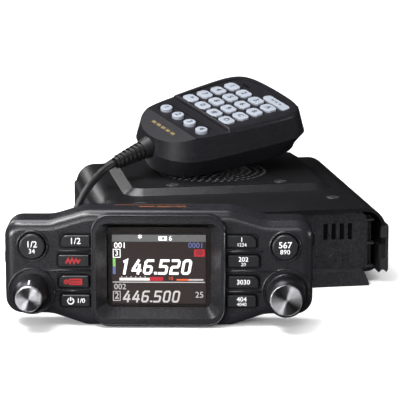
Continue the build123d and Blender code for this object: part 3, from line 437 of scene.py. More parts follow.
LEGEND_WHITE = grained("legend_white", (0.78, 0.78, 0.78), 0.5, 1500.0, 0.00001, variation=0.04)
LEGEND_RED = glowing("legend_red", (0.30, 0.006, 0.009), 0.12)
PRINT_ORANGE = grained("print_orange", (0.16, 0.045, 0.012), 0.5, 1500.0, 0.00001, variation=0.1)
PRINT_GOLD = grained(
    "print_gold", (0.14, 0.10, 0.034), 0.5, 1500.0, 0.00001, metallic=0.3, variation=0.1
)
# near-black sheet for painted shade: rings round the head's keys and sheets inside the vents
SHADE_BLACK = grained(
    "painted_shade_black", (0.0025, 0.0025, 0.0028), 0.6, 1500.0, 0.00002, variation=0.1, specular=0.2
)
# lighter paint for painted highlights on the cover's front edge and the vents' edges
EDGE_HIGHLIGHT = grained("painted_edge_highlight", (0.060, 0.058, 0.064), 0.34, 2600.0, 0.00003, variation=0.2)
# lighter metal for painted highlights on the rims round the grille holes and the screws
RIM_HIGHLIGHT = grained(
    "rim_highlight_metal", (0.07, 0.07, 0.074), 0.4, 1500.0, 0.00002, metallic=0.6, variation=0.1
)
LEGEND_DARK = grained("legend_dark", (0.012, 0.012, 0.014), 0.5, 1500.0, 0.00001, variation=0.1)
LIT_WHITE = glowing("lit_white", (1.0, 1.0, 1.0), 1.0)
LIT_PALE = glowing("lit_pale", (0.62, 0.61, 0.58), 0.6)
LIT_GREY = glowing("lit_grey", (0.42, 0.40, 0.39), 0.8)
LIT_BAR = glowing("lit_bar", (0.10, 0.10, 0.10), 0.8)
LIT_BLUE = glowing("lit_blue", (0.10, 0.12, 0.28), 0.8)
LIT_RED = glowing("lit_red", (0.36, 0.012, 0.022), 0.7)
LIT_GREEN = glowing("lit_green", (0.18, 0.45, 0.10), 0.8)
LIT_ORANGE = glowing("lit_orange", (0.65, 0.10, 0.03), 0.8)
LIT_GROUND = glowing("lit_ground", (0.017, 0.010, 0.009), 0.9)


def paint(piece, material):
    """Gives a piece one material."""
    piece.data.materials.clear()
    piece.data.materials.append(material)


def paint_nodes():
    """Every carried-over node gets the material of its slot in the record."""
    for row in frame["record"]["subparts"]:
        paint(nodes[row["node"]], PAINT[row["material_slot"]])


paint_nodes()
paint(cord, PAINT["rubber_black"])


# ----------------------------------------------------------- flat markings
MARK_THICKNESS = 0.06
MITRE_LIMIT = 0.4
STROKE_CAP = 0.9
LETTER_THICKNESS = 0.03


def arc(radius, start, stop, count=12):
    """Points on an arc, in degrees."""
    steps = [radians(start + (stop - start) * step / count) for step in range(count + 1)]
    return [(radius * cos(angle), radius * sin(angle)) for angle in steps]


def strokes_mesh(name, strokes, width, place, thickness=MARK_THICKNESS):
    """Marks made of straight strokes of one width, with mitred joints, in millimetres."""
    mesh = bmesh.new()
    half = width / 2
    for stroke in strokes:
        closed = stroke[0] == stroke[-1]
        points = [Vector(p) for p in (stroke[:-1] if closed else stroke)]
        count = len(points)
        sides = []
        for number, point in enumerate(points):
            before = points[number - 1] if closed or number else None
            after = points[(number + 1) % count] if closed or number < count - 1 else None
            ways = []
            if before is not None:
                ways.append((point - before).normalized())
            if after is not None:
                ways.append((after - point).normalized())
            normals = [Vector((-way.y, way.x)) for way in ways]
            mitre = sum(normals, Vector((0, 0))).normalized()
            reach = half / max(mitre.dot(normals[0]), MITRE_LIMIT)
            end = Vector((0, 0))
            if before is None:
                end = -ways[0] * half * STROKE_CAP
            if after is None:
                end = ways[0] * half * STROKE_CAP
            sides.append((point + end + mitre * reach, point + end - mitre * reach))
        pairs = list(zip(sides, sides[1:])) + ([(sides[-1], sides[0])] if closed else [])
        for (a, b), (c, d) in pairs:
            add_prism(mesh, [a, b, d, c], thickness)
    return marking(name, mesh, place)


def add_prism(mesh, outline, thickness):
    """A flat outline given a thickness, both in millimetres."""
    low = [mesh.verts.new((p[0], p[1], 0)) for p in outline]
    high = [mesh.verts.new((p[0], p[1], thickness)) for p in outline]
    mesh.faces.new(low[::-1])
    mesh.faces.new(high)
    for number in range(len(outline)):
        other = (number + 1) % len(outline)
        mesh.faces.new((low[number], low[other], high[other], high[number]))


def marking(name, mesh, place):
    """Turns a mesh in millimetres into a placed object."""
    mesh.transform(place @ Matrix.Scale(MM, 4))
    return as_object(name, mesh, smooth=False)


def bar(name, x0, x1, y0, y1, place, thickness=MARK_THICKNESS):
    """A flat rectangle, in millimetres."""
    mesh = bmesh.new()
    add_prism(mesh, [(x0, y0), (x1, y0), (x1, y1), (x0, y1)], thickness)
    return marking(name, mesh, place)


def front_place(x, z, y):
    """A plane facing the front of the control head, at a point of its own frame."""
    turn = Matrix.Rotation(radians(90), 4, "X")
    return HEAD_PLACE @ Matrix.Translation(mm(x, y, z)) @ turn


def lettering(name, text, size, place, body, material, bold=0.0):
    """A short sign set in the built-in face, turned into a thin mesh."""
    data = bpy.data.curves.new(name, "FONT")
    data.body = text
    data.size = size
    data.align_x = "CENTER"
    data.align_y = "CENTER"
    data.offset = bold
    data.extrude = LETTER_THICKNESS
    data.resolution_u = 3
    holder = bpy.data.objects.new(name + "_text", data)
    bpy.context.scene.collection.objects.link(holder)
    mesh = mesh_of(holder)
    bpy.data.objects.remove(holder)
    bpy.data.curves.remove(data)
    mesh.transform(place @ Matrix.Scale(MM, 4))
    made = bpy.data.objects.new(name, mesh)
    mesh.name = name
    bpy.context.scene.collection.objects.link(made)
    mark_up(made, body, material)


def mark_up(piece, body, material):
    """Material and body of a marking."""
    paint(piece, material)
    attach(piece, body)


# ----------------------------------------------------------------- display
# millimetres on the control head
LCD_LEFT = -21.0
LCD_TOP = 41.3
LCD_RIGHT = 21.0
LCD_BOTTOM = 9.5
DISPLAY_Y = 4.45
BAR_SINK = 0.1
BOX_LINE = 0.3
METER_TICKS = 6
TICK_PITCH = 2.1
# strokes of each digit, on a grid five units high
DIGITS = {
    "0": [[
        (0, 0.6), (0, 4.4), (0.6, 5), (2.2, 5), (2.8, 4.4),
        (2.8, 0.6), (2.2, 0), (0.6, 0), (0, 0.6),
    ]],
    "1": [[(0.6, 4.6), (1.4, 5), (1.4, 0)]],
    "2": [[
        (0, 5), (2.3, 5), (2.8, 4.5), (2.8, 2.9), (2.4, 2.5), (0.5, 2.5), (0, 2), (0, 0), (2.8, 0),
    ]],
    "4": [[(1.6, 5), (0, 1.6), (0, 1.2), (3.0, 1.2)], [(2.3, 3.2), (2.3, 0)]],
    "5": [[(2.8, 5), (0, 5), (0, 2.7), (2.3, 2.7), (2.8, 2.3), (2.8, 0.5), (2.3, 0), (0, 0)]],
    "6": [[
        (2.8, 5), (0.6, 5), (0, 4.4), (0, 0.6), (0.6, 0), (2.2, 0),
        (2.8, 0.6), (2.8, 2.2), (2.2, 2.7), (0.1, 2.7),
    ]],
}
DIGIT_HEIGHT = 5.0
DIGIT_SLANT = 0.19
DIGIT_WIDTH = 0.92
POINT_STEP = 0.33


def frequency(name, text, left, bottom, height, step, weight, material):
    """A slanted number on the display, made of square strokes."""
    unit = height / DIGIT_HEIGHT
    x = left
    strokes = []
    for sign in text:
        if sign == ".":
            strokes.append([(x - 0.05, bottom + 0.1), (x + 0.25, bottom + 0.1)])
            x += step * POINT_STEP
            continue
        for stroke in DIGITS[sign]:
            strokes.append([
                (x + a * unit * DIGIT_WIDTH + b * unit * DIGIT_SLANT, bottom + b * unit)
                for a, b in stroke
            ])
        x += step
    piece = strokes_mesh(name, strokes, weight, front_place(0, 0, DISPLAY_Y))
    mark_up(piece, "control_head", material)


def display_bar(name, x0, x1, down0, down1, material, lift=0.0):
    """A filled rectangle on the display, from its left edge and its top."""
    place = front_place(0, 0, DISPLAY_Y + BAR_SINK - lift)
    piece = bar(name, LCD_LEFT + x0, LCD_LEFT + x1, LCD_TOP - down1, LCD_TOP - down0, place)
    mark_up(piece, "control_head", material)


def display_box(name, x0, x1, down0, down1, material):
    """A thin outline on the display, from its left edge and its top."""
    left, right, top, bottom = LCD_LEFT + x0, LCD_LEFT + x1, LCD_TOP - down0, LCD_TOP - down1
    outline = [(left, bottom), (right, bottom), (right, top), (left, top), (left, bottom)]
    piece = strokes_mesh(name, [outline], BOX_LINE, front_place(0, 0, DISPLAY_Y))
    mark_up(piece, "control_head", material)


def display_sign(name, text, x, down, size, material, bold=0.0):
    """A small sign centred on the display."""
    place = front_place(LCD_LEFT + x, LCD_TOP - down, DISPLAY_Y)
    lettering(name, text, size, place, "control_head", material, bold)


def make_display():
    """Two numbers, a meter and small generic signs on a dark ground, placed in millimetres."""
    width, height = LCD_RIGHT - LCD_LEFT, LCD_TOP - LCD_BOTTOM
    display_bar("display_ground", 0, width, 0, height, LIT_GROUND, -0.08)
    display_bar("status_bar", 0, width, 0, 3.2, LIT_BAR)
    display_sign("status_icon", "*", 12.5, 1.8, 4.6, LIT_WHITE, 0.03)
    display_bar("battery_shell", 20.8, 24.6, 0.7, 2.6, LIT_WHITE, 0.05)
    display_bar("battery_gap", 22.4, 23.4, 1.1, 2.2, LIT_BAR, 0.12)
    display_sign("status_number", "6", 26.2, 1.7, 3.2, LIT_WHITE)
    display_sign("upper_row_number", "001", 3.6, 5.0, 3.7, LIT_WHITE, 0.03)
    display_sign("slot_number", "0001", 37.6, 4.9, 3.5, LIT_BLUE, 0.02)
    display_bar("red_tag", 36.8, 41.6, 6.7, 10.0, LIT_RED)
    display_sign("red_tag_number", "00", 39.2, 8.4, 3.0, LIT_GROUND)
    display_sign("upper_index", "3", 2.05, 8.6, 3.3, LIT_WHITE, 0.02)
    display_box("upper_box", 0.5, 3.6, 6.7, 10.4, LIT_WHITE)
    display_bar("green_strip", 0.3, 1.5, 10.9, 14.6, LIT_GREEN)
    display_bar("blue_strip", 0.3, 1.5, 14.6, 18.2, LIT_BLUE)
    left, bottom = LCD_LEFT + 3.9, LCD_TOP - 17.8
    frequency("upper_frequency", "146.520", left, bottom, 5.9, 5.15, 1.15, LIT_WHITE)
    display_bar("meter_light", 3.2, 16.8, 19.9, 21.2, LIT_PALE)
    display_bar("meter_red", 16.8, 22.9, 19.5, 21.3, LIT_RED)
    for number in range(METER_TICKS):
        left = 4.0 + TICK_PITCH * number
        display_bar(f"meter_tick_{number + 1}", left, left + 0.5, 19.2, 19.7, LIT_GREY)
    display_sign("level_number", "10", 26.2, 20.2, 2.3, LIT_ORANGE)
    display_bar("level_orange", 28.9, 34.4, 20.4, 21.1, LIT_ORANGE)
    display_bar("level_rest", 34.4, 41.0, 20.4, 21.1, LIT_GREY)
    display_bar("middle_line", 0.2, 41.7, 21.7, 22.1, LIT_GREY)
    display_sign("lower_row_number", "002", 3.5, 24.1, 3.7, LIT_GREY)
    display_sign("lower_index", "2", 2.0, 28.3, 4.2, LIT_GREY, 0.02)
    display_box("lower_box", 0.4, 3.5, 26.2, 30.4, LIT_GREY)
    left, bottom = LCD_LEFT + 4.9, LCD_TOP - 30.9
    frequency("lower_frequency", "446.500", left, bottom, 4.7, 4.15, 0.8, LIT_GREY)
    display_sign("lower_mode", "25", 39.2, 27.8, 3.9, LIT_GREY)


make_display()


# ------------------------------------------------------------------ knobs
def revolved(name, profile, sides, place, grip=None):
    """A turned piece: radius and height pairs in millimetres, spun round local Z."""
    mesh = bmesh.new()
    rings = []
    for radius, height in profile:
        ring = []
        for step in range(sides):
            angle = 2 * pi * step / sides
            cut = grip(step, height) if grip else 0.0
            reach = radius - cut
            ring.append(mesh.verts.new(mm(reach * cos(angle), reach * sin(angle), height)))
        rings.append(ring)
    for first, second in zip(rings, rings[1:]):
        for step in range(sides):
            other = (step + 1) % sides
            mesh.faces.new((first[step], first[other], second[other], second[step]))
    mesh.faces.new(rings[0][::-1])
    mesh.faces.new(rings[-1])
    made = as_object(name, mesh)
    made.matrix_world = place
    return made


def sharpen(piece, angle):
    """Keeps edges crisp where a piece turns by more than an angle, in degrees."""
    mesh = bmesh.new()
    mesh.from_mesh(piece.data)
    for edge in mesh.edges:
        if len(edge.link_faces) == 2 and edge.calc_face_angle(0) > radians(angle):
            edge.smooth = False
    mesh.to_mesh(piece.data)
    mesh.free()


KNOB_X = 56.9
KNOB_Z = 16.5
KNOB_SIDES = 96
DIAL_SIDES = 288
CREASE = 25
KNURL_DEPTH = 0.45
KNURL_LOW = 3.6
KNURL_HIGH = 13.6
VOLUME_BODY = (
    (5.4, 1.5), (7.5, 1.5), (7.7, 1.7), (7.7, 10.0), (7.6, 10.6), (6.3, 15.1), (6.1, 15.4),
)
VOLUME_FACE = ((6.1, 15.4), (6.1, 15.9), (5.75, 16.35), (5.5, 16.4), (5.4, 16.25), (0.3, 16.25))
DIAL_BODY = (
    (5.4, 1.5), (8.4, 1.5), (8.7, 1.8), (8.7, 3.0), (8.35, 3.3), (8.35, 3.55), (8.6, 3.7),
    (8.6, 13.3), (8.3, 13.6), (8.3, 13.9), (8.1, 14.3), (7.4, 15.9), (7.2, 16.0),
)
DIAL_FACE = ((7.2, 16.0), (7.15, 16.3), (6.9, 16.4), (6.8, 16.25), (0.3, 16.25))
MARK_START = (0, 7.50, 11.2)
MARK_SLOPE = 106.1
MARK_SIZE = (0.3, 3.4)


def knurl(step, height):
    """How deep the dial's rim is cut: every other pair of its facets, along the gripped part."""
    return KNURL_DEPTH if step % 4 >= 2 and KNURL_LOW < height < KNURL_HIGH else 0.0


def turned(name, profile, sides, place, material, grip=None):
    """A turned piece with crisp edges and one material."""
    piece = revolved(name, profile, sides, place, grip)
    paint(piece, material)
    sharpen(piece, CREASE)
    return piece


def make_knobs():
    """Two turned knobs: a smooth volume knob and a dial with a knurled rim."""
    place = front_place(-KNOB_X, KNOB_Z, 0)
    skirt = turned("volume_knob_body", VOLUME_BODY, KNOB_SIDES, place, KNOB_DARK)
    disc = turned("volume_knob_face", VOLUME_FACE, KNOB_SIDES, place, PAINT["knob_metal"])
    taper = Matrix.Translation(mm(*MARK_START)) @ Matrix.Rotation(radians(MARK_SLOPE), 4, "X")
    mark = bar("volume_knob_mark", -MARK_SIZE[0], MARK_SIZE[0], 0, MARK_SIZE[1], place @ taper)
    paint(mark, LEGEND_WHITE)
    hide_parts("volume_knob")
    for piece in (skirt, disc, mark):
        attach(piece, "volume_knob")

    place = front_place(KNOB_X, KNOB_Z, 0)
    rim = turned("dial_knob_body", DIAL_BODY, DIAL_SIDES, place, KNOB_DARK, knurl)
    disc = turned("dial_knob_face", DIAL_FACE, KNOB_SIDES, place, PAINT["knob_metal"])
    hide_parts("dial_knob")
    for piece in (rim, disc):
        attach(piece, "dial_knob")


make_knobs()


# ------------------------------------------------------------- edge relief
# millimetres, on the control head down to KNOB_CROWN and on the main unit down to VENT_DEPTH
KEY_MIDDLE = (37.1, 37.9, 37.9, 37.2)
KEY_Z = (39.6, 30.6, 21.0, 12.2)
KEY_FACE = -1.62
BUTTON_FACE = -3.02
BUTTON_X = 56.4
BUTTON_Z = 37.2
KEY_SPAN = ((30.5, 43.6), (31.0, 44.9), (31.2, 44.7), (30.7, 43.7))
KEY_HEIGHT = 5.3
WELL_INNER = 0.3
WELL_OUTER = 0.95
WELL_CORNER = 1.0
WELL_LIFT = 0.02
RIB_Z = (35.1, 26.1, 16.6)
RIB_REACH = (46.0, 53.0, 46.0)
RIB_START = 29.4
RIB_CROWN = -0.85
RIDGE_RADIUS = 0.5
RIDGE_SIDES = 8
BUTTON_RING = 6.75
BUTTON_CROWN = -0.6
KNOB_RING = 10.35
KNOB_CROWN = -0.7
GRILLE_CENTRE = (-1.5, 22.0)
GRILLE_PITCH = 3.8
GRILLE_RINGS = 7
GRILLE_RIM = 0.95
RIM_SIDES = 12
RIM_SECTION = ((-0.12, -0.3), (-0.1, 0.02), (0.1, 0.1), (0.28, -0.02))
PLATEAU_TOP = 40.3
CASE_HALF = 68.0
CASE_FRONT = -66.0
LIP_RADIUS = 0.45
LIP_HALF = CASE_HALF - LIP_RADIUS
LIP_TOP = 36.95
LIP_LOW = 24.0
LIP_CORNER = 9.6
LIP_FRONT = CASE_FRONT + LIP_RADIUS
TOP_SCREWS = (
    (-48.0, -38.0, 37.4),
    (48.0, -38.0, 37.4),
    (-27.5, -9.7, PLATEAU_TOP),
    (27.5, -9.7, PLATEAU_TOP),
)
SCREW_RIM = 3.1
RIM_RADIUS = 0.22
PANEL_SCREW = (43.8, 10.8)
PANEL_SCREW_RIM = 3.5
PANEL_FACE = -62.5
VENT_X = (39.2, 43.2, 47.2, 51.2)
VENT_Z = (21.6, 29.6)
VENT_HALF = 1.1
VENT_EDGE = 0.2
VENT_DEPTH = 1.2
PAD_HALF = 29.5
PAD_Z = (1.4, 51.6)
PAD_CORNER = 7.5
PAD_CROWN = -2.75


def key_shade_ring(name, side, row):
    """A thin near-black ring on the face round one key: painted shade in the gap round the key."""
    inner, outer = KEY_SPAN[row]
    half = (outer - inner) / 2 + (WELL_INNER + WELL_OUTER) / 2
    tall = KEY_HEIGHT / 2 + (WELL_INNER + WELL_OUTER) / 2
    x, z = side * (inner + outer) / 2, KEY_Z[row]
    left, right, low, high = x - half, x + half, z - tall, z + tall
    line = [(left + WELL_CORNER, low), (right - WELL_CORNER, low), (right, low + WELL_CORNER)]
    line += [(right, high - WELL_CORNER), (right - WELL_CORNER, high), (left + WELL_CORNER, high)]
    line += [(left, high - WELL_CORNER), (left, low + WELL_CORNER), line[0]]
    piece = strokes_mesh(name, [line], WELL_OUTER - WELL_INNER, front_place(0, 0, WELL_LIFT))
    mark_up(piece, "control_head", SHADE_BLACK)


def ridge(name, points, radius, place, body, material):
    """A rounded raised line through points given in millimetres."""
    piece = tube_mesh(name, [place @ mm(*point) for point in points], radius * MM, RIDGE_SIDES)
    paint(piece, material)
    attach(piece, body)


def case_ridge(name, points, radius, material):
    """A rounded raised line on the main unit."""
    ridge(name, points, radius, Matrix(), "main_unit", material)


def head_ridge(name, points):
    """A rounded raised line on the control head's face."""
    finish = PAINT["head_plastic"]
    ridge(name, points, RIDGE_RADIUS, HEAD_PLACE, "control_head", finish)


def flat_ring(x, y, z, radius, upright=False):
    """A circle lying flat, or standing up and facing the front, as points in millimetres."""
    if upright:
        return [(x + a, y, z + b) for a, b in arc(radius, 0, 360, 32)]
    return [(x + a, y + b, z) for a, b in arc(radius, 0, 360, 32)]


def lip_line():
    """The front edge of the cover, from one side over the top to the other, in millimetres."""
    half, top = LIP_HALF, LIP_TOP
    corner = [(half - LIP_CORNER + a, top - LIP_CORNER + b) for a, b in arc(LIP_CORNER, 0, 90, 8)]
    side = [(half, LIP_LOW)] + corner
    return [(x, LIP_FRONT, z) for x, z in side] + [(-x, LIP_FRONT, z) for x, z in side[::-1]]


def make_case_details():
    """A rolled front edge on the cover, rims round the screws and edges in the vents, in lighter
    paint as painted highlights, and near-black sheets in the vents as painted shade.
    """
    case_ridge("cover_front_lip", lip_line(), LIP_RADIUS, EDGE_HIGHLIGHT)
    for number, (x, y, z) in enumerate(TOP_SCREWS):
        ring = flat_ring(x, y, z, SCREW_RIM)
        case_ridge(f"screw_rim_{number + 1}", ring, RIM_RADIUS, RIM_HIGHLIGHT)
    for side, word in ((-1, "left"), (1, "right")):
        x, z = side * PANEL_SCREW[0], PANEL_SCREW[1]
        ring = flat_ring(x, PANEL_FACE, z, PANEL_SCREW_RIM, upright=True)
        case_ridge(f"panel_screw_rim_{word}", ring, RIM_RADIUS, RIM_HIGHLIGHT)
    upright = Matrix.Rotation(radians(90), 4, "X")
    for number, x in enumerate(VENT_X):
        edge = [(x + VENT_HALF, PANEL_FACE, z) for z in (VENT_Z[0], sum(VENT_Z) / 2, VENT_Z[1])]
        case_ridge(f"vent_edge_{number + 1}", edge, VENT_EDGE, EDGE_HIGHLIGHT)
        # a near-black sheet inside each vent: painted shade
        place = Matrix.Translation(mm(x, PANEL_FACE + VENT_DEPTH, 0)) @ upright
        piece = bar(f"vent_painted_shade_{number + 1}", -VENT_HALF, VENT_HALF, VENT_Z[0], VENT_Z[1], place)
        mark_up(piece, "main_unit", SHADE_BLACK)


def pad_line():
    """The rounded outline of the raised frame round the display."""
    line = []
    corners = ((1, 1, 0), (-1, 1, 90), (-1, -1, 180), (1, -1, 270))
    middle = (PAD_Z[0] + PAD_Z[1]) / 2
    tall = (PAD_Z[1] - PAD_Z[0]) / 2
    for across, up, start in corners:
        x, z = across * (PAD_HALF - PAD_CORNER), middle + up * (tall - PAD_CORNER)
        line += [(x + a, PAD_CROWN, z + b) for a, b in arc(PAD_CORNER, start, start + 90, 8)]
    return line + line[:1]


def make_relief():
    """Rounded ribs and rings on the control head's face, and near-black rings of painted shade
    round its keys.
    """
    head_ridge("display_frame_crown", pad_line())
    for side, word in ((-1, "left"), (1, "right")):
        for row in range(4):
            key_shade_ring(f"{word}_key_{row + 1}_well", side, row)
        for number, (z, reach) in enumerate(zip(RIB_Z, RIB_REACH)):
            stops = (RIB_START, (RIB_START + reach) / 2, reach)
            line = [(side * x, RIB_CROWN, z) for x in stops]
            head_ridge(f"{word}_rib_{number + 1}_crown", line)
        for label, x, z, size, front in (
            ("button", BUTTON_X, BUTTON_Z, BUTTON_RING, BUTTON_CROWN),
            ("knob", KNOB_X, KNOB_Z, KNOB_RING, KNOB_CROWN),
        ):
            ring = [(side * x + a, front, z + b) for a, b in arc(size, 0, 360, 48)]
            head_ridge(f"{word}_{label}_ring_crown", ring)


def make_grille_rims():
    """Lighter rims round the loudspeaker holes in the cover: painted highlights on the holes'
    edges.
    """
    mesh = bmesh.new()
    for ring in range(1, GRILLE_RINGS + 1):
        radius = ring * GRILLE_PITCH
        count = round(2 * pi * radius / GRILLE_PITCH)
        for step in range(count):
            angle = 2 * pi * step / count
            x = GRILLE_CENTRE[0] + radius * cos(angle)
            y = GRILLE_CENTRE[1] + radius * sin(angle)
            add_rim(mesh, Vector((x, y, 0)), PLATEAU_TOP)
    piece = as_object("grille_rims", mesh)
    paint(piece, RIM_HIGHLIGHT)
    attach(piece, "main_unit")


def add_rim(mesh, middle, height):
    """A small raised collar round one hole, in millimetres from its middle."""
    rings = []
    for wider, lift in RIM_SECTION:
        radius = GRILLE_RIM + wider
        rings.append([
            mesh.verts.new(mm(middle.x + radius * x, middle.y + radius * y, height + lift))
            for x, y in arc(1.0, 0, 360, RIM_SIDES)[:RIM_SIDES]
        ])
    for first, second in zip(rings, rings[1:] + rings[:1]):
        for step in range(RIM_SIDES):
            other = (step + 1) % RIM_SIDES
            mesh.faces.new((first[step], first[other], second[other], second[step]))


# ----------------------------------------------------------------- legends
SIGN_BOLD = 0.02
SIGN_SHIFT = -0.2
THICK_STROKE = 0.75
WAVE_LINE = (
    (-3.0, -0.8), (-2.2, 1.0), (-1.3, -0.9), (-0.4, 1.1),
    (0.5, -0.9), (1.4, 0.9), (2.2, -0.7), (3.0, 0.4),
)
BOX_OUTLINE = ((-1.6, -1.1), (3.6, -1.1), (3.6, 1.1), (-1.6, 1.1), (-1.6, -1.1))
BOX_BAR = ((-0.6, 0), (2.8, 0))
POWER_STEM = ((-2.0, 0.2), (-2.0, 1.6))
RIGHT_KEY_SIGNS = (("1", "1234"), ("202", "20"), ("3030", ""), ("404", "4040"))
BUTTON_SIGNS = ((-1, "round_button_left", "1/2", "34"), (1, "round_button_right", "567", "890"))
MIC_BOLD = 0.08
MIC_KEY_ROWS = ("123", "456", "789", "*0#")
MIC_LAST_COLUMN = "ABCD"
MIC_PITCH = (8.85, 10.5)
ROUND_KEY_X = -29.2
ROUND_KEY_PITCH = 10.4
ROUND_KEY_SHIFT = -0.5
ROUND_KEY_FACE = -1.0
MUTE_MARK_PLACE = (20.6, -13.2, -0.02)
MUTE_MARK_PITCH = 3.2
MUTE_MARK_HALF = (0.9, 0.35)


def head_legend(name, text, x, z, y, size, body, bold=SIGN_BOLD):
    """A white sign on a part of the control head's front."""
    lettering(name, text, size, front_place(x, z, y), body, LEGEND_WHITE, bold)


def left_icon(name, strokes, width, row, material):
    """A small line icon on one of the left keys."""
    x, z = SIGN_SHIFT - KEY_MIDDLE[row], KEY_Z[row]
    moved = [[(x + a, z + b) for a, b in stroke] for stroke in strokes]
    piece = strokes_mesh(name, moved, width, front_place(0, 0, KEY_FACE))
    mark_up(piece, f"left_key_{row + 1}", material)


def make_left_legends():
    """Numbers and simple icons on the left keys."""
    head_legend("left_key_1_sign", "1/2", -KEY_MIDDLE[0], KEY_Z[0], KEY_FACE, 4.0, "left_key_1")
    left_icon("left_key_2_sign", [WAVE_LINE], THICK_STROKE, 1, LEGEND_RED)
    ring = [(a - 3.2, b) for a, b in arc(0.75, 0, 360)]
    left_icon("left_key_3_sign", [ring, BOX_OUTLINE], THICK_STROKE, 2, LEGEND_RED)
    left_icon("left_key_3_bar", [BOX_BAR], 0.9, 2, LEGEND_RED)
    power = [(a - 2.0, b - 0.1) for a, b in arc(1.35, 125, 415)]
    left_icon("left_key_4_sign", [power, POWER_STEM], 0.5, 3, LEGEND_WHITE)
    x = 2.4 - KEY_MIDDLE[3]
    head_legend("left_key_4_number", "1/0", x, KEY_Z[3], KEY_FACE, 3.0, "left_key_4")


def make_head_legends():
    """Numbers and simple icons on the keys and the round buttons."""
    make_left_legends()
    for number, (upper, lower) in enumerate(RIGHT_KEY_SIGNS):
        body = f"right_key_{number + 1}"
        x, z = KEY_MIDDLE[number], KEY_Z[number]
        lift = 0.9 if lower else 0.0
        head_legend(body + "_sign", upper, x, z + lift, KEY_FACE, 3.0, body)
        if lower:
            head_legend(body + "_small", lower, x, z - 1.4, KEY_FACE, 2.2, body, 0.0)
    for side, body, upper, lower in BUTTON_SIGNS:
        x = side * BUTTON_X
        head_legend(body + "_sign", upper, x, BUTTON_Z + 1.1, BUTTON_FACE, 4.0, body)
        head_legend(body + "_small", lower, x, BUTTON_Z - 2.0, BUTTON_FACE, 3.0, body, 0.0)


def mic_place(x, y, z):
    """A plane on the microphone's key face whose signs read across it."""
    return MIC_PLACE @ Matrix.Translation(mm(x, y, z)) @ Matrix.Rotation(radians(-90), 4, "Z")


def mic_legend(name, text, x, y, z, size, body):
    """A sign on a microphone key."""
    lettering(name, text, size, mic_place(x, y, z), body, LEGEND_DARK, MIC_BOLD)


def make_mic_legends():
    """Numbers on the keypad, the four round keys and the long key."""
    for row, signs in enumerate(MIC_KEY_ROWS):
        x = (1.5 - row) * MIC_PITCH[0]
        body = f"keypad_row_{row + 1}"
        for column, sign in enumerate(signs):
            y = (1.5 - column) * MIC_PITCH[1]
            mic_legend(f"{body}_sign_{column + 1}", sign, x, y, 0.0, 4.4, body)
        y = -1.5 * MIC_PITCH[1]
        mic_legend(f"{body}_sign_4", MIC_LAST_COLUMN[row], x, y, 0.0, 4.0, body)
    for number in range(4):
        body = f"program_key_{number + 1}"
        y = (1.5 - number) * ROUND_KEY_PITCH + ROUND_KEY_SHIFT
        mic_legend(body + "_sign", str(number + 1), ROUND_KEY_X, y, ROUND_KEY_FACE, 4.4, body)
    for number in range(3):
        x, y, z = MUTE_MARK_PLACE
        place = mic_place(x, y + MUTE_MARK_PITCH * (number - 1), z)
        wide, tall = MUTE_MARK_HALF
        piece = bar(f"mute_key_mark_{number + 1}", -wide, wide, -tall, tall, place)
        mark_up(piece, "mute_key", LEGEND_DARK)


make_relief()
make_case_details()
make_grille_rims()
make_head_legends()
make_mic_legends()


# ------------------------------------------------------------- accent marks
# millimetres, on the control head and on the microphone
TOP_HEIGHT = 52.97
TOP_DASHES = ((-20, 12, 13.4, 13.9), (-9, -2, 9.2, 10.8), (-1, 6, 9.2, 10.8), (7, 12, 9.2, 10.8))
NOSE_EDGE = (-36.5, 0, -2.2)
NOSE_SLOPE = 15.0
NOSE_DASHES = 5
NOSE_PITCH = 4.1
NOSE_SPAN = (-6.0, -4.4)
NOSE_HALF = 1.4
NOSE_THICKNESS = 0.04


def make_accents():
    """Plain printed dashes: warm ones on the head's top and pale ones on the microphone's nose."""
    top = HEAD_PLACE @ Matrix.Translation(mm(0, 0, TOP_HEIGHT))
    for number, (x0, x1, y0, y1) in enumerate(TOP_DASHES):
        piece = bar(f"head_top_dash_{number + 1}", x0, x1, y0, y1, top)
        mark_up(piece, "control_head", PRINT_ORANGE)
    slope = MIC_PLACE @ Matrix.Translation(mm(*NOSE_EDGE))
    slope = slope @ Matrix.Rotation(radians(-NOSE_SLOPE), 4, "Y")
    for number in range(NOSE_DASHES):
        y = NOSE_PITCH * (number - NOSE_DASHES // 2)
        low, high = y - NOSE_HALF, y + NOSE_HALF
        piece = bar(f"mic_dash_{number + 1}", *NOSE_SPAN, low, high, slope, NOSE_THICKNESS)
        mark_up(piece, "microphone", PRINT_GOLD)


make_accents()


# --------------------------------------------------- floor, light and close
# metres
FLOOR_HALF = 4.0
FLOOR_BACK = 1.2
FLOOR_BEND = 0.8
FLOOR_TOP = 3.5
FLOOR_STEPS = 12
# name, place, point aimed at, size, power, and whether its reflection is seen
LIGHTS = (
    ("light_sky", (0, 0.3, 2.6), (0, 0.3, 0), (4.5, 4.5), 62, False),
    ("light_fill", (-1.3, -1.5, 0.7), (-0.1, -0.1, 0.03), (0.9, 0.7), 13, False),
    ("light_top", (-0.25, 0.05, 0.58), (-0.15, 0.0, 0.0), (0.52, 0.40), 3.6, True),
    ("light_left", (-0.70, -0.55, 0.08), (-0.12, -0.12, 0.02), (0.40, 0.14), 5, True),
    ("light_right", (0.85, -0.35, 0.10), (0.06, -0.10, 0.02), (0.5, 0.14), 1.6, True),
    ("light_rear", (-0.46, 0.85, 0.42), (0, 0.0, 0.03), (0.4, 0.3), 2.2, True),
    ("light_front", (-0.35, -1.2, 0.45), (0, -0.1, 0.03), (0.9, 0.35), 3, True),
    ("light_fill_rear", (0.9, 1.6, 0.6), (0, 0, 0.03), (0.9, 0.7), 12, False),
    ("light_low", (-0.55, -1.15, 0.10), (-0.05, -0.13, 0.03), (0.35, 0.14), 2.5, True),
    ("light_over", (-0.28, -0.24, 0.55), (-0.08, -0.13, 0.04), (0.40, 0.10), 3.0, True),
)
SURROUND = 0.55


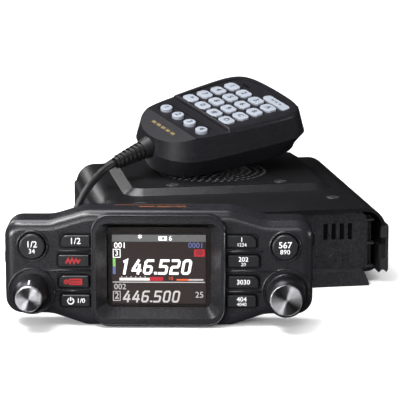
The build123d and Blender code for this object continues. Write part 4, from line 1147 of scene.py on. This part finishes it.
def make_floor():
    """A plain pale floor that curves up far behind; the part neither reflects nor is lit by it."""
    mesh = bmesh.new()
    profile = [(-FLOOR_HALF, 0.0), (FLOOR_BACK, 0.0)]
    for step in range(1, FLOOR_STEPS + 1):
        angle = radians(90 * step / FLOOR_STEPS)
        y, z = FLOOR_BACK + FLOOR_BEND * sin(angle), FLOOR_BEND - FLOOR_BEND * cos(angle)
        profile.append((y, z))
    profile.append((FLOOR_BACK + FLOOR_BEND, FLOOR_TOP))
    rows = [[mesh.verts.new((x, y, z)) for x in (-FLOOR_HALF, FLOOR_HALF)] for y, z in profile]
    for first, second in zip(rows, rows[1:]):
        mesh.faces.new((first[0], first[1], second[1], second[0]))
    floor = as_object("floor", mesh)
    material, tree, shader = new_material("floor_white")
    broad = add_noise(tree, 3.0)
    dark, light = (0.93, 0.93, 0.93), (0.95, 0.95, 0.95)
    shade = add_ramp(tree, broad, [(NOISE_LOW, dark), (NOISE_HIGH, light)])
    tree.links.new(shade, shader.inputs["Base Color"])
    shader.inputs["Roughness"].default_value = 0.9
    shader.inputs["Specular IOR Level"].default_value = 0.1
    paint(floor, material)
    floor.visible_glossy = False
    floor.visible_diffuse = False


def add_light(name, place, aim, size, power, seen):
    """A soft light turned towards a point, in metres; an unseen one leaves no highlights."""
    data = bpy.data.lights.new(name, "AREA")
    data.shape = "RECTANGLE"
    data.size, data.size_y = size
    data.energy = power
    lamp = bpy.data.objects.new(name, data)
    bpy.context.scene.collection.objects.link(lamp)
    lamp.location = place
    lamp.rotation_euler = (Vector(aim) - Vector(place)).to_track_quat("-Z", "Y").to_euler()
    lamp.visible_glossy = seen


def make_light():
    """Soft boxes all round, small ones for highlights and wide unseen ones, in a pale surround."""
    for row in LIGHTS:
        add_light(*row)
    world = bpy.data.worlds.new("surround")
    bpy.context.scene.world = world
    world.use_nodes = True
    surround = world.node_tree.nodes["Background"]
    surround.inputs["Color"].default_value = (1, 1, 1, 1)
    surround.inputs["Strength"].default_value = SURROUND
    world.cycles_visibility.glossy = False


make_floor()
make_light()
bpy.context.scene.view_settings.view_transform = "Standard"
